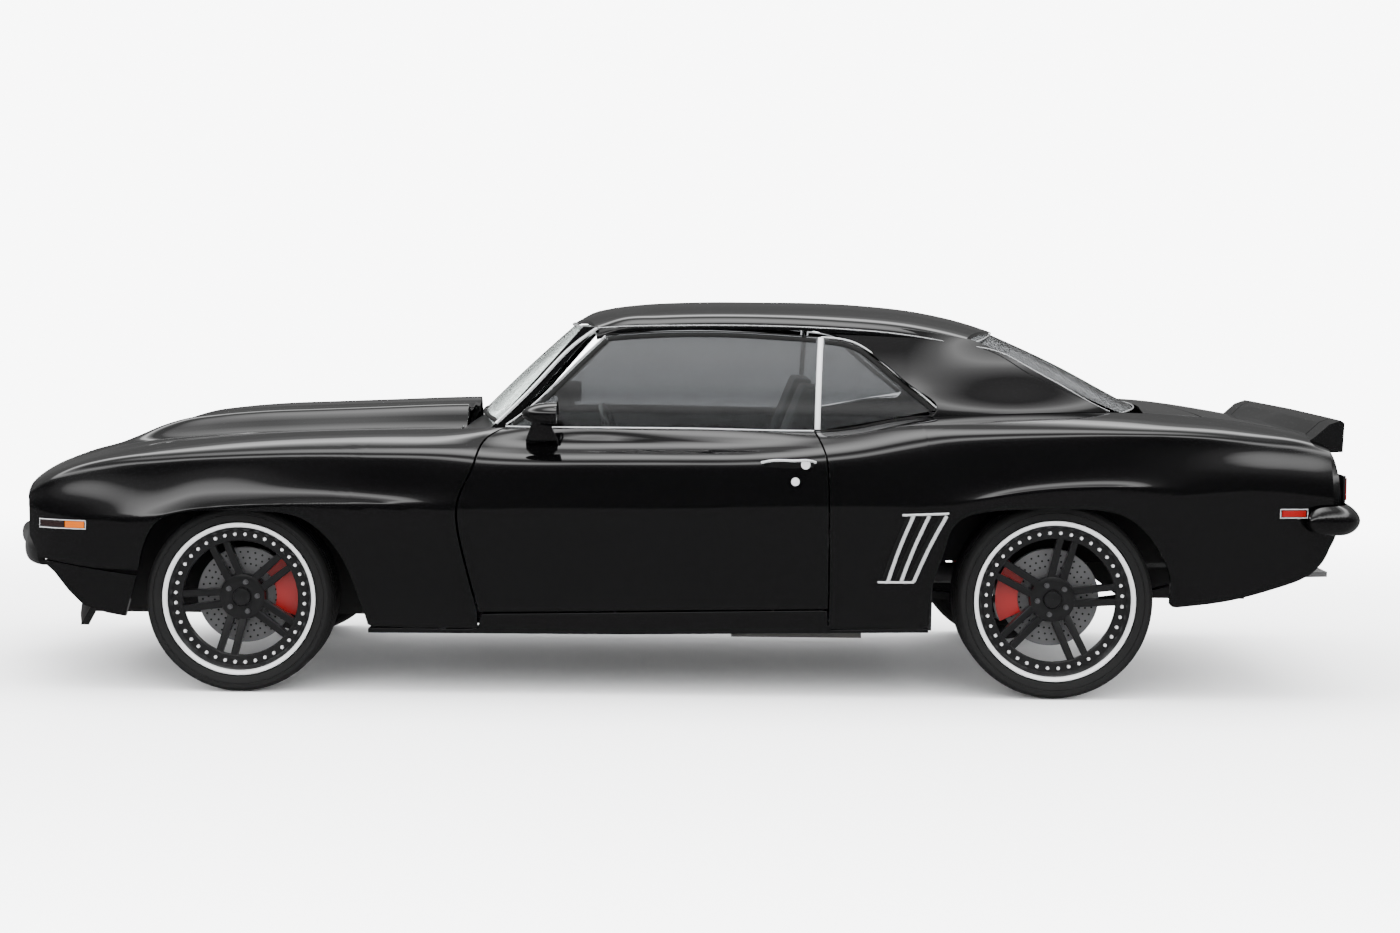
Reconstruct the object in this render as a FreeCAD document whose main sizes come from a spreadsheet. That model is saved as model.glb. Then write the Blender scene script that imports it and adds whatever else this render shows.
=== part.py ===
# A two-door muscle car coupe on low-profile tyres, in millimetres.
# X points forward, Y to the car's left and Z up. The origin is on the ground, under the middle of
# the car's box. Outer panels are cut from shared skins, so that neighbours line up across each gap.
import FreeCAD, Part
import Sketcher
import math
import os
import re

Vec = FreeCAD.Vector

# Driving sizes. Each has one cell of the sheet, and text that starts with = is worked out from others.
SIZES = {
    # Overall
    "front_overhang": 940, "wheelbase": 2743, "rear_overhang": 1041, "half_width": 940,
    "sill_height": 209, "belt_height": 897, "roof_height": 1320,
    "front_axle_x": "=(rear_overhang + wheelbase - front_overhang) / 2",
    "rear_axle_x": "=front_axle_x - wheelbase",
    # Gaps and walls
    "panel_gap": 5, "door_gap": 7, "seat_gap": 0.3, "running_gap": 0.1, "panel_wall": 28,
    "lid_wall": 12, "roof_wall": 26, "glass_wall": 6, "least_wall": 40, "door_inner_face": 812, "rocker_inner_face": 800, "bumper_wall": 26,
    # Front wheels
    "front_tyre_radius": 315, "front_tyre_width": 245, "front_lip_radius": 258, "wheel_face": 884,
    "front_disc_radius": 163, "kingpin_y": 700,
    # Rear wheels
    "rear_tyre_radius": 333, "rear_tyre_width": 275, "rear_lip_radius": 273, "rear_disc_radius": 166,
    # Parts that both sizes of wheel share
    "rim_wall": 9, "lip_depth": 26, "ring_wall": 20, "spoke_width": 26, "spoke_depth": 34, "spoke_inset": 52,
    "hub_radius": 78, "hub_depth": 60, "disc_thickness": 28, "bore_radius": 24, "cap_radius": 34,
    # Chassis
    "rail_y": 380, "rail_width": 70, "rail_height": 100, "rail_z": 210, "arm_thickness": 26,
    "spindle_radius": "=bore_radius - running_gap",
    "axle_tube_radius": 38, "diff_radius": 125, "exhaust_radius": 28, "exhaust_y": 300,
    "leaf_width": 63, "leaf_y": 500, "floor_z": 232, "floor_wall": 18, "floor_half_width": 800,
    "trunk_floor_z": 420, "kingpin_bore_radius": 9,
    # Cabin
    "steering_y": "=seat_y", "steering_x": 150, "steering_z": 790, "steering_radius": 178,
    "steering_rim": 13, "steering_tilt": 24, "seat_width": 440, "seat_y": 412,
    # Hinges
    "door_hinge_x": 600, "door_hinge_y": 905, "hinge_pin_radius": 6, "hinge_boss_radius": 11, "hinge_arm_height": 16,
    "hinge_slot_gap": 6, "lower_hinge_z": 420, "upper_hinge_z": 690,
    "lid_hinge_y": 520, "hood_hinge_y": 260, "lid_pin_radius": 5, "lid_boss_radius": 11, "lid_ear_width": 10,
    "cheek_width": 8, "cheek_gap": 2,
    # Licence plate pad and jacking points
    "plate_hole_spacing": 178, "plate_hole_radius": 3.5, "plate_hole_z": 525, "jack_pad_z": 222,
}

doc = FreeCAD.newDocument("muscle_car")
sheet = doc.addObject("Spreadsheet::Sheet", "Sizes")
for row, (name, value) in enumerate(SIZES.items(), start=1):
    sheet.set("A%d" % row, name)
    sheet.set("B%d" % row, str(value))
    sheet.setAlias("B%d" % row, name)
doc.recompute()


def size(name):
    return float(sheet.get(name))


# The drawing's own datums. Every outline below is drawn on them, and moves with the sheet's sizes.
DRAWN_X = (-2362, -1321, 1422, 2362)
DRAWN_Z = (-200, 0, 209, 897, 1320, 1520)
DRAWN_HALF_WIDTH = 940
TAIL = size("rear_axle_x") - size("rear_overhang")
NOSE = size("front_axle_x") + size("front_overhang")
REAL_X = (TAIL, size("rear_axle_x"), size("front_axle_x"), NOSE)
REAL_Z = (-200, 0, size("sill_height"), size("belt_height"), size("roof_height"), size("roof_height") + 200)


def stretched(value, drawn, real):
    """Carries a drawn coordinate to the real car, in proportion between two datums."""
    last = len(drawn) - 2
    span = sum(1 for datum in drawn[1:-1] if value > datum)
    span = min(span, last)
    part = (value - drawn[span]) / (drawn[span + 1] - drawn[span])
    return real[span] + part * (real[span + 1] - real[span])


def along(x):
    return stretched(x, DRAWN_X, REAL_X)


def up(z):
    return stretched(z, DRAWN_Z, REAL_Z)


def out(y):
    return y * size("half_width") / DRAWN_HALF_WIDTH


def at(x, y, z):
    return Vec(along(x), out(y), up(z))


# Curves and surfaces

def spline_value(knots, values, where):
    """A smooth curve through the values, its slope at each knot taken from both neighbours."""
    last = len(knots) - 1
    span = min(max(sum(1 for knot in knots[1:-1] if where > knot), 0), last - 1)

    def rise(i):
        return (values[i + 1] - values[i]) / (knots[i + 1] - knots[i])

    def slope(i):
        if i == 0:
            return rise(0)
        if i == last:
            return rise(last - 1)
        before = knots[i] - knots[i - 1]
        after = knots[i + 1] - knots[i]
        return (rise(i - 1) * after + rise(i) * before) / (before + after)

    step = knots[span + 1] - knots[span]
    t = (where - knots[span]) / step
    return ((1 + 2 * t) * (1 - t) ** 2 * values[span] + t * (1 - t) ** 2 * step * slope(span)
            + t * t * (3 - 2 * t) * values[span + 1] + t * t * (t - 1) * step * slope(span + 1))


def line_point(line, x):
    """The (y, z) of a feature line, drawn as (x, y, z) from front to rear, at one x."""
    knots = [point[0] for point in reversed(line)]
    return tuple(spline_value(knots, [point[axis] for point in reversed(line)], x) for axis in (1, 2))


def through(points, parameters):
    curve = Part.BSplineCurve()
    curve.interpolate(Points=points, Parameters=parameters)
    return curve


def chord_parameters(points):
    total = [0.0]
    for before, after in zip(points, points[1:]):
        total.append(total[-1] + max(before.distanceToPoint(after), 1.0))
    return total


def skin_surface(rows, along_rows):
    """A smooth surface through rows of points that all have the same parameters along them."""
    curves = [through(row, along_rows) for row in rows]
    middle = len(rows[0]) // 2
    across_rows = chord_parameters([row[middle] for row in rows])
    poles = []
    for column in zip(*[curve.getPoles() for curve in curves]):
        cross = through(list(column), across_rows)
        poles.append(cross.getPoles())
    surface = Part.BSplineSurface()
    surface.buildFromPolesMultsKnots(
        poles, curves[0].getMultiplicities(), cross.getMultiplicities(),
        curves[0].getKnots(), cross.getKnots(), False, False, curves[0].Degree, cross.Degree)
    return surface


def thick_skin(outer_strips, inner_strips):
    """A closed solid between two skins of the same layout. A strip ends in a crease."""
    along_rows = chord_parameters(outer_strips[0][0])
    faces = []
    last = len(outer_strips) - 1
    for number, (outer_rows, inner_rows) in enumerate(zip(outer_strips, inner_strips)):
        outer = skin_surface(outer_rows, along_rows)
        inner = skin_surface(inner_rows, along_rows)
        u_low, u_high, v_low, v_high = outer.bounds()
        w_low, w_high = inner.bounds()[2:]
        pairs = [(outer.uIso(u_low), inner.uIso(u_low)), (outer.uIso(u_high), inner.uIso(u_high))]
        if number == 0:
            pairs.append((outer.vIso(v_low), inner.vIso(w_low)))
        if number == last:
            pairs.append((outer.vIso(v_high), inner.vIso(w_high)))
        faces += [outer.toShape(), inner.toShape()]
        faces += [Part.makeRuledSurface(first.toShape(), second.toShape()) for first, second in pairs]
    shell = Part.makeShell(faces)
    shell.sewShape()
    solid = Part.makeSolid(Part.Shell(shell.Faces))
    if solid.Volume < 0:
        solid.reverse()
    return solid


def outline_wire(pieces, place):
    """A closed wire of (x, z) pieces: two points are a straight run, and more are a smooth curve."""
    edges = []
    spots = [[place(*point) for point in piece] for piece in pieces]
    for index, points in enumerate(spots):
        if len(points) == 2:
            edges.append(Part.LineSegment(points[0], points[1]).toShape())
        elif len(points) > 2:
            curve = Part.BSplineCurve()
            curve.interpolate(points)
            edges.append(curve.toShape())
        start = points[-1]
        end = spots[(index + 1) % len(spots)][0]
        if start.distanceToPoint(end) > 0.01:
            edges.append(Part.LineSegment(start, end).toShape())
    return Part.Wire(edges)


def side_prism(pieces, y_from, y_to):
    """A prism along Y from a side-view outline."""
    wire = outline_wire(pieces, lambda x, z: at(x, y_from, z))
    return Part.Face(wire).extrude(Vec(0, out(y_to) - out(y_from), 0))


def plan_prism(pieces, z_from, z_to):
    """A prism along Z from a plan-view outline."""
    wire = outline_wire(pieces, lambda x, y: at(x, y, z_from))
    return Part.Face(wire).extrude(Vec(0, 0, up(z_to) - up(z_from)))


def end_prism(pieces, x_from, x_to):
    """A prism along X from an end-view outline of (y, z) points."""
    wire = outline_wire(pieces, lambda y, z: at(x_from, y, z))
    return Part.Face(wire).extrude(Vec(along(x_to) - along(x_from), 0, 0))


def polygon(points):
    """The same outline, as straight runs only."""
    return [list(pair) for pair in zip(points, points[1:] + points[:1])]


def shifted(points, dx=0.0, dz=0.0):
    return [(x + dx, z + dz) for x, z in points]


def block(x_range, y_range, z_range):
    low = at(x_range[0], y_range[0], z_range[0])
    high = at(x_range[1], y_range[1], z_range[1])
    extent = high - low
    return Part.makeBox(extent.x, extent.y, extent.z, low)


def mirrored(shape):
    return shape.mirror(Vec(0, 0, 0), Vec(0, 1, 0))


def one_solid(shape):
    """The largest solid of a cut, without slivers that lie outside the panel."""
    return max(shape.Solids, key=lambda solid: solid.Volume)


def fused(first, *others):
    return first.fuse(list(others)).removeSplitter()


made = {}


def once(maker):
    """The shape that a function makes, worked out only the first time."""
    if maker not in made:
        made[maker] = maker()
    return made[maker]


nodes = []


def add_part(label, shape, placement=None):
    """A sub-part whose shape is worked out here from the sheet."""
    feature = doc.addObject("Part::Feature", label)
    feature.Label = label
    feature.Shape = shape
    feature.Placement = placement or FreeCAD.Placement()
    nodes.append(feature)
    return feature


def add_pair(name, shape):
    """A left sub-part and its mirror image on the right."""
    add_part(name + "_left", shape)
    add_part(name + "_right", mirrored(shape))


def add_both_sides(name, shape):
    """One sub-part of two like solids, one on each side."""
    add_part(name, Part.makeCompound([shape, mirrored(shape)]))


# Feature lines of the body side, front to rear as (x, y, z).
SILL = [(2200, 690, 180), (2090, 790, 180), (2000, 835, 180), (1800, 878, 180), (1422, 893, 180),
        (600, 893, 180), (-1321, 893, 180), (-1700, 885, 180), (-2000, 855, 180), (-2200, 810, 180),
        (-2370, 735, 180)]
LOWER = [(2200, 735, 400), (2090, 832, 400), (2000, 876, 400), (1800, 912, 400), (1422, 926, 400),
         (600, 927, 400), (-550, 929, 400), (-1321, 931, 400), (-1700, 922, 400), (-2000, 893, 400),
         (-2200, 858, 400), (-2370, 808, 400)]
CREASE = [(2200, 748, 618), (2120, 822, 607), (2050, 868, 600), (1950, 900, 594), (1800, 921, 588),
          (1690, 930, 594), (1600, 934, 615), (1485, 937, 630), (1300, 938, 640), (600, 938, 643),
          (0, 939, 648), (-550, 940, 656), (-880, 940, 662), (-1010, 940, 674), (-1171, 940, 702),
          (-1311, 940, 719), (-1521, 936, 726), (-1777, 925, 715), (-2076, 897, 697),
          (-2250, 866, 684), (-2370, 822, 678)]
CREST = [(2200, 722, 632), (2139, 770, 673), (2091, 792, 705), (1991, 810, 751), (1855, 822, 782),
         (1700, 830, 799), (1422, 838, 820), (953, 842, 841), (214, 843, 848), (-400, 848, 857),
         (-624, 855, 876), (-858, 862, 910), (-1126, 864, 921), (-1529, 856, 924), (-1811, 838, 916),
         (-2018, 815, 898), (-2184, 792, 876), (-2270, 775, 850), (-2370, 750, 800)]
TOP = [(2200, 692, 660), (2100, 692, 722), (2004, 692, 761), (1768, 692, 816), (1529, 692, 847),
       (1241, 692, 869), (954, 692, 879), (700, 700, 886), (560, 760, 893), (420, 797, 897),
       (-121, 797, 897), (-391, 797, 893), (-511, 797, 893), (-662, 792, 909), (-756, 784, 929),
       (-907, 770, 945), (-1140, 752, 955), (-1377, 718, 962), (-1540, 688, 962), (-1640, 662, 960),
       (-1700, 650, 957), (-1846, 644, 948), (-2064, 642, 918), (-2200, 640, 893), (-2370, 640, 850)]
STATIONS = [2200, 2150, 2100, 2050, 1990, 1900, 1800, 1700, 1600, 1500, 1400, 1250, 1100, 900, 700, 560,
            400, 200, 0, -200, -400, -530, -660, -780, -900, -1020, -1150, -1290, -1430, -1580, -1730,
            -1880, -2020, -2130, -2220, -2300, -2370]

# Outlines of the seams in side view, as (x, z).
DOOR_FRONT = [(616, 284), (670, 495), (688, 599), (685, 655), (634, 777), (607, 852),
              (528, 899), (460, 930)]
DOOR_REAR = [(-480, 960), (-509, 896), (-541, 827), (-552, 733), (-557, 306)]
FRONT_ARCH = [(345, -150), (335, -39), (330, 83), (301, 206), (264, 263), (198, 292), (67, 304), (-74, 302),
              (-214, 282), (-289, 231), (-354, 147), (-401, 34), (-439, -88), (-460, -200)]
REAR_ARCH = [(432, -200), (427, -73), (416, 64), (380, 178), (355, 251), (318, 285), (250, 305), (153, 314),
             (6, 318), (-141, 314), (-215, 296), (-289, 242), (-340, 174), (-375, 96), (-379, -3), (-380, -200)]
REAR_LOWER = [(-1650, 312), (-1712, 320), (-1894, 343), (-2081, 392), (-2175, 431), (-2235, 500),
              (-2252, 565)]

# How each row of the side section leans inwards through a thin wall, as (y, z).
LEAN = {"sill": (-1, 0), "lower": (-1, 0), "waist": (-1, 0), "crease": (-1, -0.1), "hollow": (-1, -0.2),
        "shoulder": (-0.85, -0.5), "crest": (-0.6, -0.8), "brow": (-0.3, -0.95), "top": (0, -1)}
LOWER_STRIP = ("sill", "lower", "waist", "crease")
UPPER_STRIP = ("crease", "hollow", "shoulder", "crest", "brow", "top")
# How far the door reaches in from the inner face at each row.
DOOR_LEAN = {"sill": 0, "lower": 0, "waist": 0, "crease": 0, "hollow": -12, "shoulder": -32, "crest": -57,
             "brow": -80, "top": -92}


def blended(first, second, y_part, z_part):
    return (first[0] + y_part * (second[0] - first[0]), first[1] + z_part * (second[1] - first[1]))


def side_section(x):
    """The named (y, z) points of the body side at one station."""
    section = {"sill": line_point(SILL, x), "lower": line_point(LOWER, x),
               "crease": line_point(CREASE, x), "crest": line_point(CREST, x), "top": line_point(TOP, x)}
    waist = blended(section["lower"], section["crease"], 0.6, 0.5)
    section["waist"] = (waist[0] + 3, waist[1])
    section["hollow"] = blended(section["crease"], section["crest"], 0.09, 0.35)
    section["shoulder"] = blended(section["crease"], section["crest"], 0.47, 0.76)
    section["brow"] = blended(section["crest"], section["top"], 0.5, 0.66)
    return section


SECTIONS = {x: side_section(x) for x in STATIONS}


def side_wall(inward, front=2200, rear=-2370):
    """The left body side, as a closed wall between the outer skin and an inner one."""
    stations = [x for x in STATIONS if rear <= x <= front]

    def rows(names, move):
        return [[at(x, *move(name, SECTIONS[x][name])) for x in stations] for name in names]

    strips = (LOWER_STRIP, UPPER_STRIP)
    outer = [rows(names, lambda name, point: point) for names in strips]
    inner = [rows(names, inward) for names in strips]
    return thick_skin(outer, inner)


def thin_inward(name, point):
    wall = size("panel_wall")
    return (point[0] + LEAN[name][0] * wall, point[1] + LEAN[name][1] * wall)


def housed_inward(name, point):
    wall = size("panel_wall") + size("seat_gap")
    return (point[0] + LEAN[name][0] * wall, point[1] + LEAN[name][1] * wall)


def door_inward(name, point):
    return (min(size("door_inner_face") + DOOR_LEAN[name], point[0] - size("least_wall")), point[1])


def rocker_inward(name, point):
    return (min(size("rocker_inner_face"), point[0] - size("least_wall")), point[1])


def arch_prism(outline, axle_x, tyre_radius, drawn_radius, y_from, y_to):
    """The space of a wheel opening. The outline is drawn from the axle and grows with the tyre."""
    scale = tyre_radius / drawn_radius
    points = [Vec(axle_x + x * scale, y_from, tyre_radius + z * scale) for x, z in outline]
    curve = Part.BSplineCurve()
    curve.interpolate(points)
    wire = Part.Wire([curve.toShape(), Part.LineSegment(points[-1], points[0]).toShape()])
    return Part.Face(wire).extrude(Vec(0, y_to - y_from, 0))


thin_wall = side_wall(thin_inward)
door_wall = side_wall(door_inward, 900, -900)
rocker_wall = side_wall(rocker_inward, 1250, -1150)
ARCH_Y = (560, 1000)
front_opening = arch_prism(FRONT_ARCH, size("front_axle_x"), size("front_tyre_radius"), 315, *ARCH_Y)
rear_opening = arch_prism(REAR_ARCH, size("rear_axle_x"), size("rear_tyre_radius"), 333, *ARCH_Y)
half_gap = size("panel_gap") / 2
half_door_gap = size("door_gap") / 2
BODY_Y = (560, 1000)


def door_sweep(clearance):
    """The space that the door's front edge turns through, about the hinge axis."""
    heights = [z for x, z in DOOR_FRONT[:-2]]
    axis_x = along(size("door_hinge_x"))
    axis_y = size("door_hinge_y")
    ring = []
    for x, z in DOOR_FRONT[:-2]:
        skin_y = spline_value([180, 400, 640, 720, 800, 850], [893, 927, 939, 930, 893, 842], z)
        forward = max(along(x - half_door_gap) - axis_x, 0)
        outward = max(out(skin_y) - axis_y, 0)
        ring.append((math.hypot(forward, outward) + clearance, up(z)))
    points = [Vec(axis_x, axis_y, up(heights[0]))]
    points += [Vec(axis_x + radius, axis_y, height) for radius, height in ring]
    points.append(Vec(axis_x, axis_y, up(heights[-1])))
    face = Part.Face(Part.makePolygon(points + points[:1]))
    return face.revolve(Vec(axis_x, axis_y, 0), Vec(0, 0, 1), 360)


def fender():
    """Front fender: nose corner, wheel opening and the part that reaches down behind the wheel."""
    rear_edge = shifted(DOOR_FRONT, half_door_gap)
    outline = [[(2153, 760), (2153, 657)], [(2153, 657), (2140, 516)], [(2140, 516), (2100, 446)],
               [(2069, 441), (1750, 400)], [(1600, 380), (1300, 228)], [(1300, 228), (619.5, 228)],
               rear_edge, [(463.5, 960), (2153, 960)]]
    panel = thin_wall.common(side_prism(outline, *BODY_Y))
    panel = panel.cut([front_opening, door_sweep(size("panel_gap"))])
    keep = plan_prism(polygon([(2400, 692), (700, 692), (560, 720), (450, 720), (450, 990), (2400, 990)]),
                      150, 950)
    return one_solid(panel.common(keep))


def door():
    """A door as thick as the whole door, with slots at the front for its two hinge arms."""
    outline = [shifted(DOOR_FRONT, -half_door_gap), [(460, 960), (-480, 960)],
               shifted(DOOR_REAR, half_gap)]
    panel = one_solid(door_wall.common(side_prism(outline, *BODY_Y)))
    pin_x = along(size("door_hinge_x"))
    pin_y = size("door_hinge_y")
    slot_half = size("hinge_arm_height") / 2 + size("hinge_slot_gap")
    cuts = []
    for name in ("lower_hinge_z", "upper_hinge_z"):
        height = size(name)
        reach = size("hinge_boss_radius") + 5
        cuts.append(Part.makeBox(150, 300, 2 * slot_half,
                                 Vec(pin_x - 22, pin_y + reach - 300, height - slot_half)))
        bore = size("hinge_pin_radius") + size("running_gap")
        cuts.append(Part.makeCylinder(bore, 2 * slot_half + 60, Vec(pin_x, pin_y, height - slot_half - 30)))
    return one_solid(panel.cut(cuts))


def rocker():
    """The sill below the door, and the strip under the fender and the quarter panel."""
    outline = polygon([(985, 209), (985, 224), (614, 224), (609, 276), (-554, 300), (-554, 234),
                       (-893, 240), (-893, 228), (-396, 220), (136, 211)])
    return one_solid(rocker_wall.common(side_prism(outline, *BODY_Y)))


def quarter():
    """Rear quarter: the hip over the wheel, and the tail corner."""
    outline = [list(reversed(shifted(DOOR_REAR, -half_gap))), [(-480, 1000), (-2244, 1000)],
               [(-2244, 858), (-2246, 700)], [(-2246, 700), (-2246, 600)],
               list(reversed(REAR_LOWER)), [(-1500, 300), (-1100, 245)], [(-1100, 245), (-559.5, 238)]]
    panel = thin_wall.common(side_prism(outline, *BODY_Y)).cut(rear_opening)
    keep = block((-2400, -470), (640, 990), (150, 1000))
    return one_solid(panel.common(keep))


# The sail panel beside the rear window leans in towards the roof.
SAIL_LEAN = [(915, 772), (960, 763), (1040, 733), (1110, 700), (1190, 656), (1250, 620), (1290, 596)]
SAIL_TAPER = [(-1560, 84), (-1480, 62), (-1380, 42), (-1250, 22), (-1100, 10), (-950, 2), (-800, 0), (-400, 0)]
# Its foot stands on the quarter's edge, and its top lies below the roof's rim.
SAIL_OUTLINE = [[(-480, 1231), (-560, 1218)], [(-560, 1218), (-620, 1203), (-700, 1156), (-766, 1107),
                (-850, 1040), (-923, 968)], [(-923, 968), (-905, 946)],
                [(-905, 946), (-1140, 956), (-1377, 963), (-1520, 963.5)],
                [(-1520, 963.5), (-1480, 985), (-1360, 1052), (-1246, 1114), (-1140, 1170), (-1048, 1207)],
                [(-1048, 1165), (-863, 1205), (-700, 1223), (-573, 1229), (-480, 1231)]]


def sail_y(x, z):
    lean = spline_value([p[0] for p in SAIL_LEAN], [p[1] for p in SAIL_LEAN], z)
    return lean - spline_value([p[0] for p in SAIL_TAPER], [p[1] for p in SAIL_TAPER], x)


def sail_panel():
    stations = [-420, -560, -700, -840, -980, -1120, -1260, -1400, -1560]
    wall = size("panel_wall")
    outer = [[at(x, sail_y(x, z), z) for x in stations] for z, y in SAIL_LEAN]
    inner = [[point - Vec(0, wall, wall * 0.35) for point in row] for row in outer]
    sheet_solid = thick_skin([outer], [inner])
    return one_solid(sheet_solid.common(side_prism(SAIL_OUTLINE, 400, 900)))


# Hood, nose and cowl. Rows run across the car from Y to the middle, and lines run from front to rear.
HOOD_FOOT = [(2200, 0, 714), (2100, 0, 746), (2000, 0, 776), (1874, 0, 811), (1730, 0, 829), (1590, 0, 842),
             (1292, 0, 859), (869, 0, 874), (560, 0, 880)]
HOOD_MIDDLE = [(2200, 0, 719), (2110, 0, 748), (2031, 0, 776), (1933, 0, 804), (1874, 0, 827), (1798, 0, 858),
               (1715, 0, 882), (1592, 0, 900), (1447, 0, 913), (1241, 0, 923), (1035, 0, 932), (779, 0, 943),
               (560, 0, 948)]
HOOD_STATIONS = [2170, 2110, 2050, 1980, 1920, 1870, 1820, 1770, 1710, 1640, 1550, 1440, 1300, 1150, 980, 820,
                 690, 600]
HOOD_HALF = 685
HOOD_REAR = 700
HOOD_FRONT = [(2076, -685), (2094, -480), (2105, 0), (2094, 480), (2076, 685)]
# Each row's place across, and its height as a share of the way from seam to foot, then foot to middle.
HOOD_ROWS = [(686, 0, 0), (600, 0.45, 0), (480, 0.82, 0), (365, 1, 0), (322, 1, 0.86), (240, 1, 0.97),
             (0, 1, 1)]


HOOD_PIVOT = (716, 905)
LID_PIVOT = (-1700, 925)


def crosswise(pivot, radius, y_from, y_to):
    """A cylinder along Y at a hinge's pivot."""
    start = at(pivot[0], y_from, pivot[1])
    return Part.makeCylinder(radius, out(y_to) - out(y_from), start, Vec(0, 1, 0))


def hinge_ear(pivot, outline, y):
    """The moving half of a lid's hinge: an arm with a boss, bored for the pin."""
    half = size("lid_ear_width") / 2
    arm = side_prism(polygon(outline), y - half, y + half)
    boss = crosswise(pivot, size("lid_boss_radius"), y - half, y + half)
    bore = crosswise(pivot, size("lid_pin_radius") + size("running_gap"), y - 2 * half, y + 2 * half)
    return fused(arm, boss).cut(bore)


def hinge_cheeks(pivot, outline, y):
    """The fixed half of a lid's hinge: two cheeks and the pin between them."""
    near = size("lid_ear_width") / 2 + size("cheek_gap")
    far = near + size("cheek_width")
    pieces = [crosswise(pivot, size("lid_pin_radius"), y - far, y + far)]
    for y_from, y_to in ((y - far, y - near), (y + near, y + far)):
        pieces.append(side_prism(polygon(outline), y_from, y_to))
        pieces.append(crosswise(pivot, size("lid_boss_radius"), y_from, y_to))
    return fused(*pieces)


def both_ways(rows):
    """Rows drawn from the left side to the middle, carried on to the right side."""
    flipped = [[Vec(point.x, -point.y, point.z) for point in row] for row in reversed(rows[:-1])]
    return rows + flipped


def sunk(rows, depth):
    return [[point - Vec(0, 0, depth) for point in row] for row in rows]


def hood_point(x, y, to_foot, to_middle):
    seam = line_point(TOP, x)[1]
    foot = line_point(HOOD_FOOT, x)[1]
    middle = line_point(HOOD_MIDDLE, x)[1]
    return at(x, y, seam + to_foot * (foot - seam) + to_middle * (middle - foot))


def hood():
    """The hood with its raised centre, and two hinge ears under its rear edge."""
    rows = both_ways([[hood_point(x, *row) for x in HOOD_STATIONS] for row in HOOD_ROWS])
    skin = thick_skin([rows], [sunk(rows, size("lid_wall"))])
    plan = plan_prism([[(HOOD_REAR, -HOOD_HALF), HOOD_FRONT[0]], HOOD_FRONT,
                       [HOOD_FRONT[-1], (HOOD_REAR, HOOD_HALF)]], 560, 1000)
    panel = one_solid(skin.common(plan))
    ear = hinge_ear(HOOD_PIVOT, [(706, 905), (706, 934), (742, 934), (727, 905)], size("hood_hinge_y"))
    return fused(panel, ear, mirrored(ear))


def across_rows(lines, thickness_shift):
    """A skin drawn as rows of (x, y, z) from the middle to the left, and a second one shifted from it."""
    outer = [[at(*point) for point in full_width(line)] for line in lines]
    inner = [[point + thickness_shift for point in row] for row in outer]
    return thick_skin([outer], [inner])


def full_width(line):
    """A row drawn from the middle to the left, carried on to the right."""
    return [(x, -y, z) for x, y, z in reversed(line[1:])] + line


def nose_panel():
    """The header between the hood and the grille, with its pointed lip."""
    rows = [[(2112, 0, 748), (2109, 250, 746), (2100, 480, 738), (2082, 691.7, 720)],
            [(2180, 0, 726), (2164, 250, 723), (2138, 480, 716), (2110, 691.7, 702)],
            [(2246, 0, 692), (2222, 250, 690), (2182, 480, 686), (2136, 691.7, 678)],
            [(2300, 0, 646), (2268, 250, 648), (2214, 480, 650), (2150, 691.7, 650)],
            [(2320, 0, 606), (2280, 250, 608), (2224, 480, 611), (2156, 691.7, 617)],
            [(2314, 0, 584), (2274, 250, 586), (2219, 480, 588), (2150, 691.7, 591)]]
    edge = shifted(HOOD_FRONT, size("panel_gap"))
    hood_space = plan_prism([[(1900, -760), (edge[0][0], -760)], edge, [(edge[-1][0], 760), (1900, 760)]],
                            560, 1000)
    skin = across_rows(rows, Vec(-size("lid_wall"), 0, -size("lid_wall") * 0.7))
    return one_solid(skin.cut([hood_space, thin_wall, mirrored(thin_wall)]))


GRILLE_FRONT = [(2268, 0), (2236, 250), (2182, 480), (2128, 660), (2100, 735)]
GRILLE_BOTTOM = 446
GRILLE_TOP = 574
LAMP_Y = 590
LAMP_RADIUS = 84
LAMP_FRONT = 2138


def grille():
    """A slab that follows the nose, opened to a lattice of bars between the lamps."""
    depth = 18
    rows = [[(x, y, z) for x, y in GRILLE_FRONT] for z in (GRILLE_BOTTOM, 510, GRILLE_TOP)]
    slab = across_rows(rows, Vec(-depth, 0, 0))
    holes = []
    pitch_y = 46
    bar = 8
    for column in range(10):
        for row in range(5):
            low_y = column * pitch_y + bar / 2
            low_z = GRILLE_BOTTOM + 8 + row * 23.5
            hole = block((2100, 2362), (low_y, low_y + pitch_y - bar), (low_z, low_z + 16))
            holes += [hole, mirrored(hole)]
    lamp_hole = Part.makeCylinder(LAMP_RADIUS - 22, 300, at(2080, LAMP_Y, 510), Vec(1, 0, 0))
    panel = one_solid(slab.cut(holes + [lamp_hole, mirrored(lamp_hole)]))
    bracket = block((2050, 2100), (690, 730), (480, 540))
    return one_solid(fused(panel, bracket, mirrored(bracket)).cut(once(radiator_support)))


def headlamp():
    """A round lamp with a domed lens and a bucket behind it."""
    radius = LAMP_RADIUS - 22 - size("seat_gap")
    dome = 14
    length = 68
    front = at(LAMP_FRONT, LAMP_Y, 510)
    lens = [front + Vec(dome, 0, 0), front + Vec(dome * 0.7, 0, radius * 0.6), front + Vec(0, 0, radius)]
    curve = Part.BSplineCurve()
    curve.interpolate(lens)
    back = front - Vec(length, 0, 0)
    profile = Part.Wire([curve.toShape(), Part.makeLine(lens[-1], back + Vec(0, 0, radius)),
                         Part.makeLine(back + Vec(0, 0, radius), back), Part.makeLine(back, lens[0])])
    return Part.Face(profile).revolve(front, Vec(1, 0, 0), 360)


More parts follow.
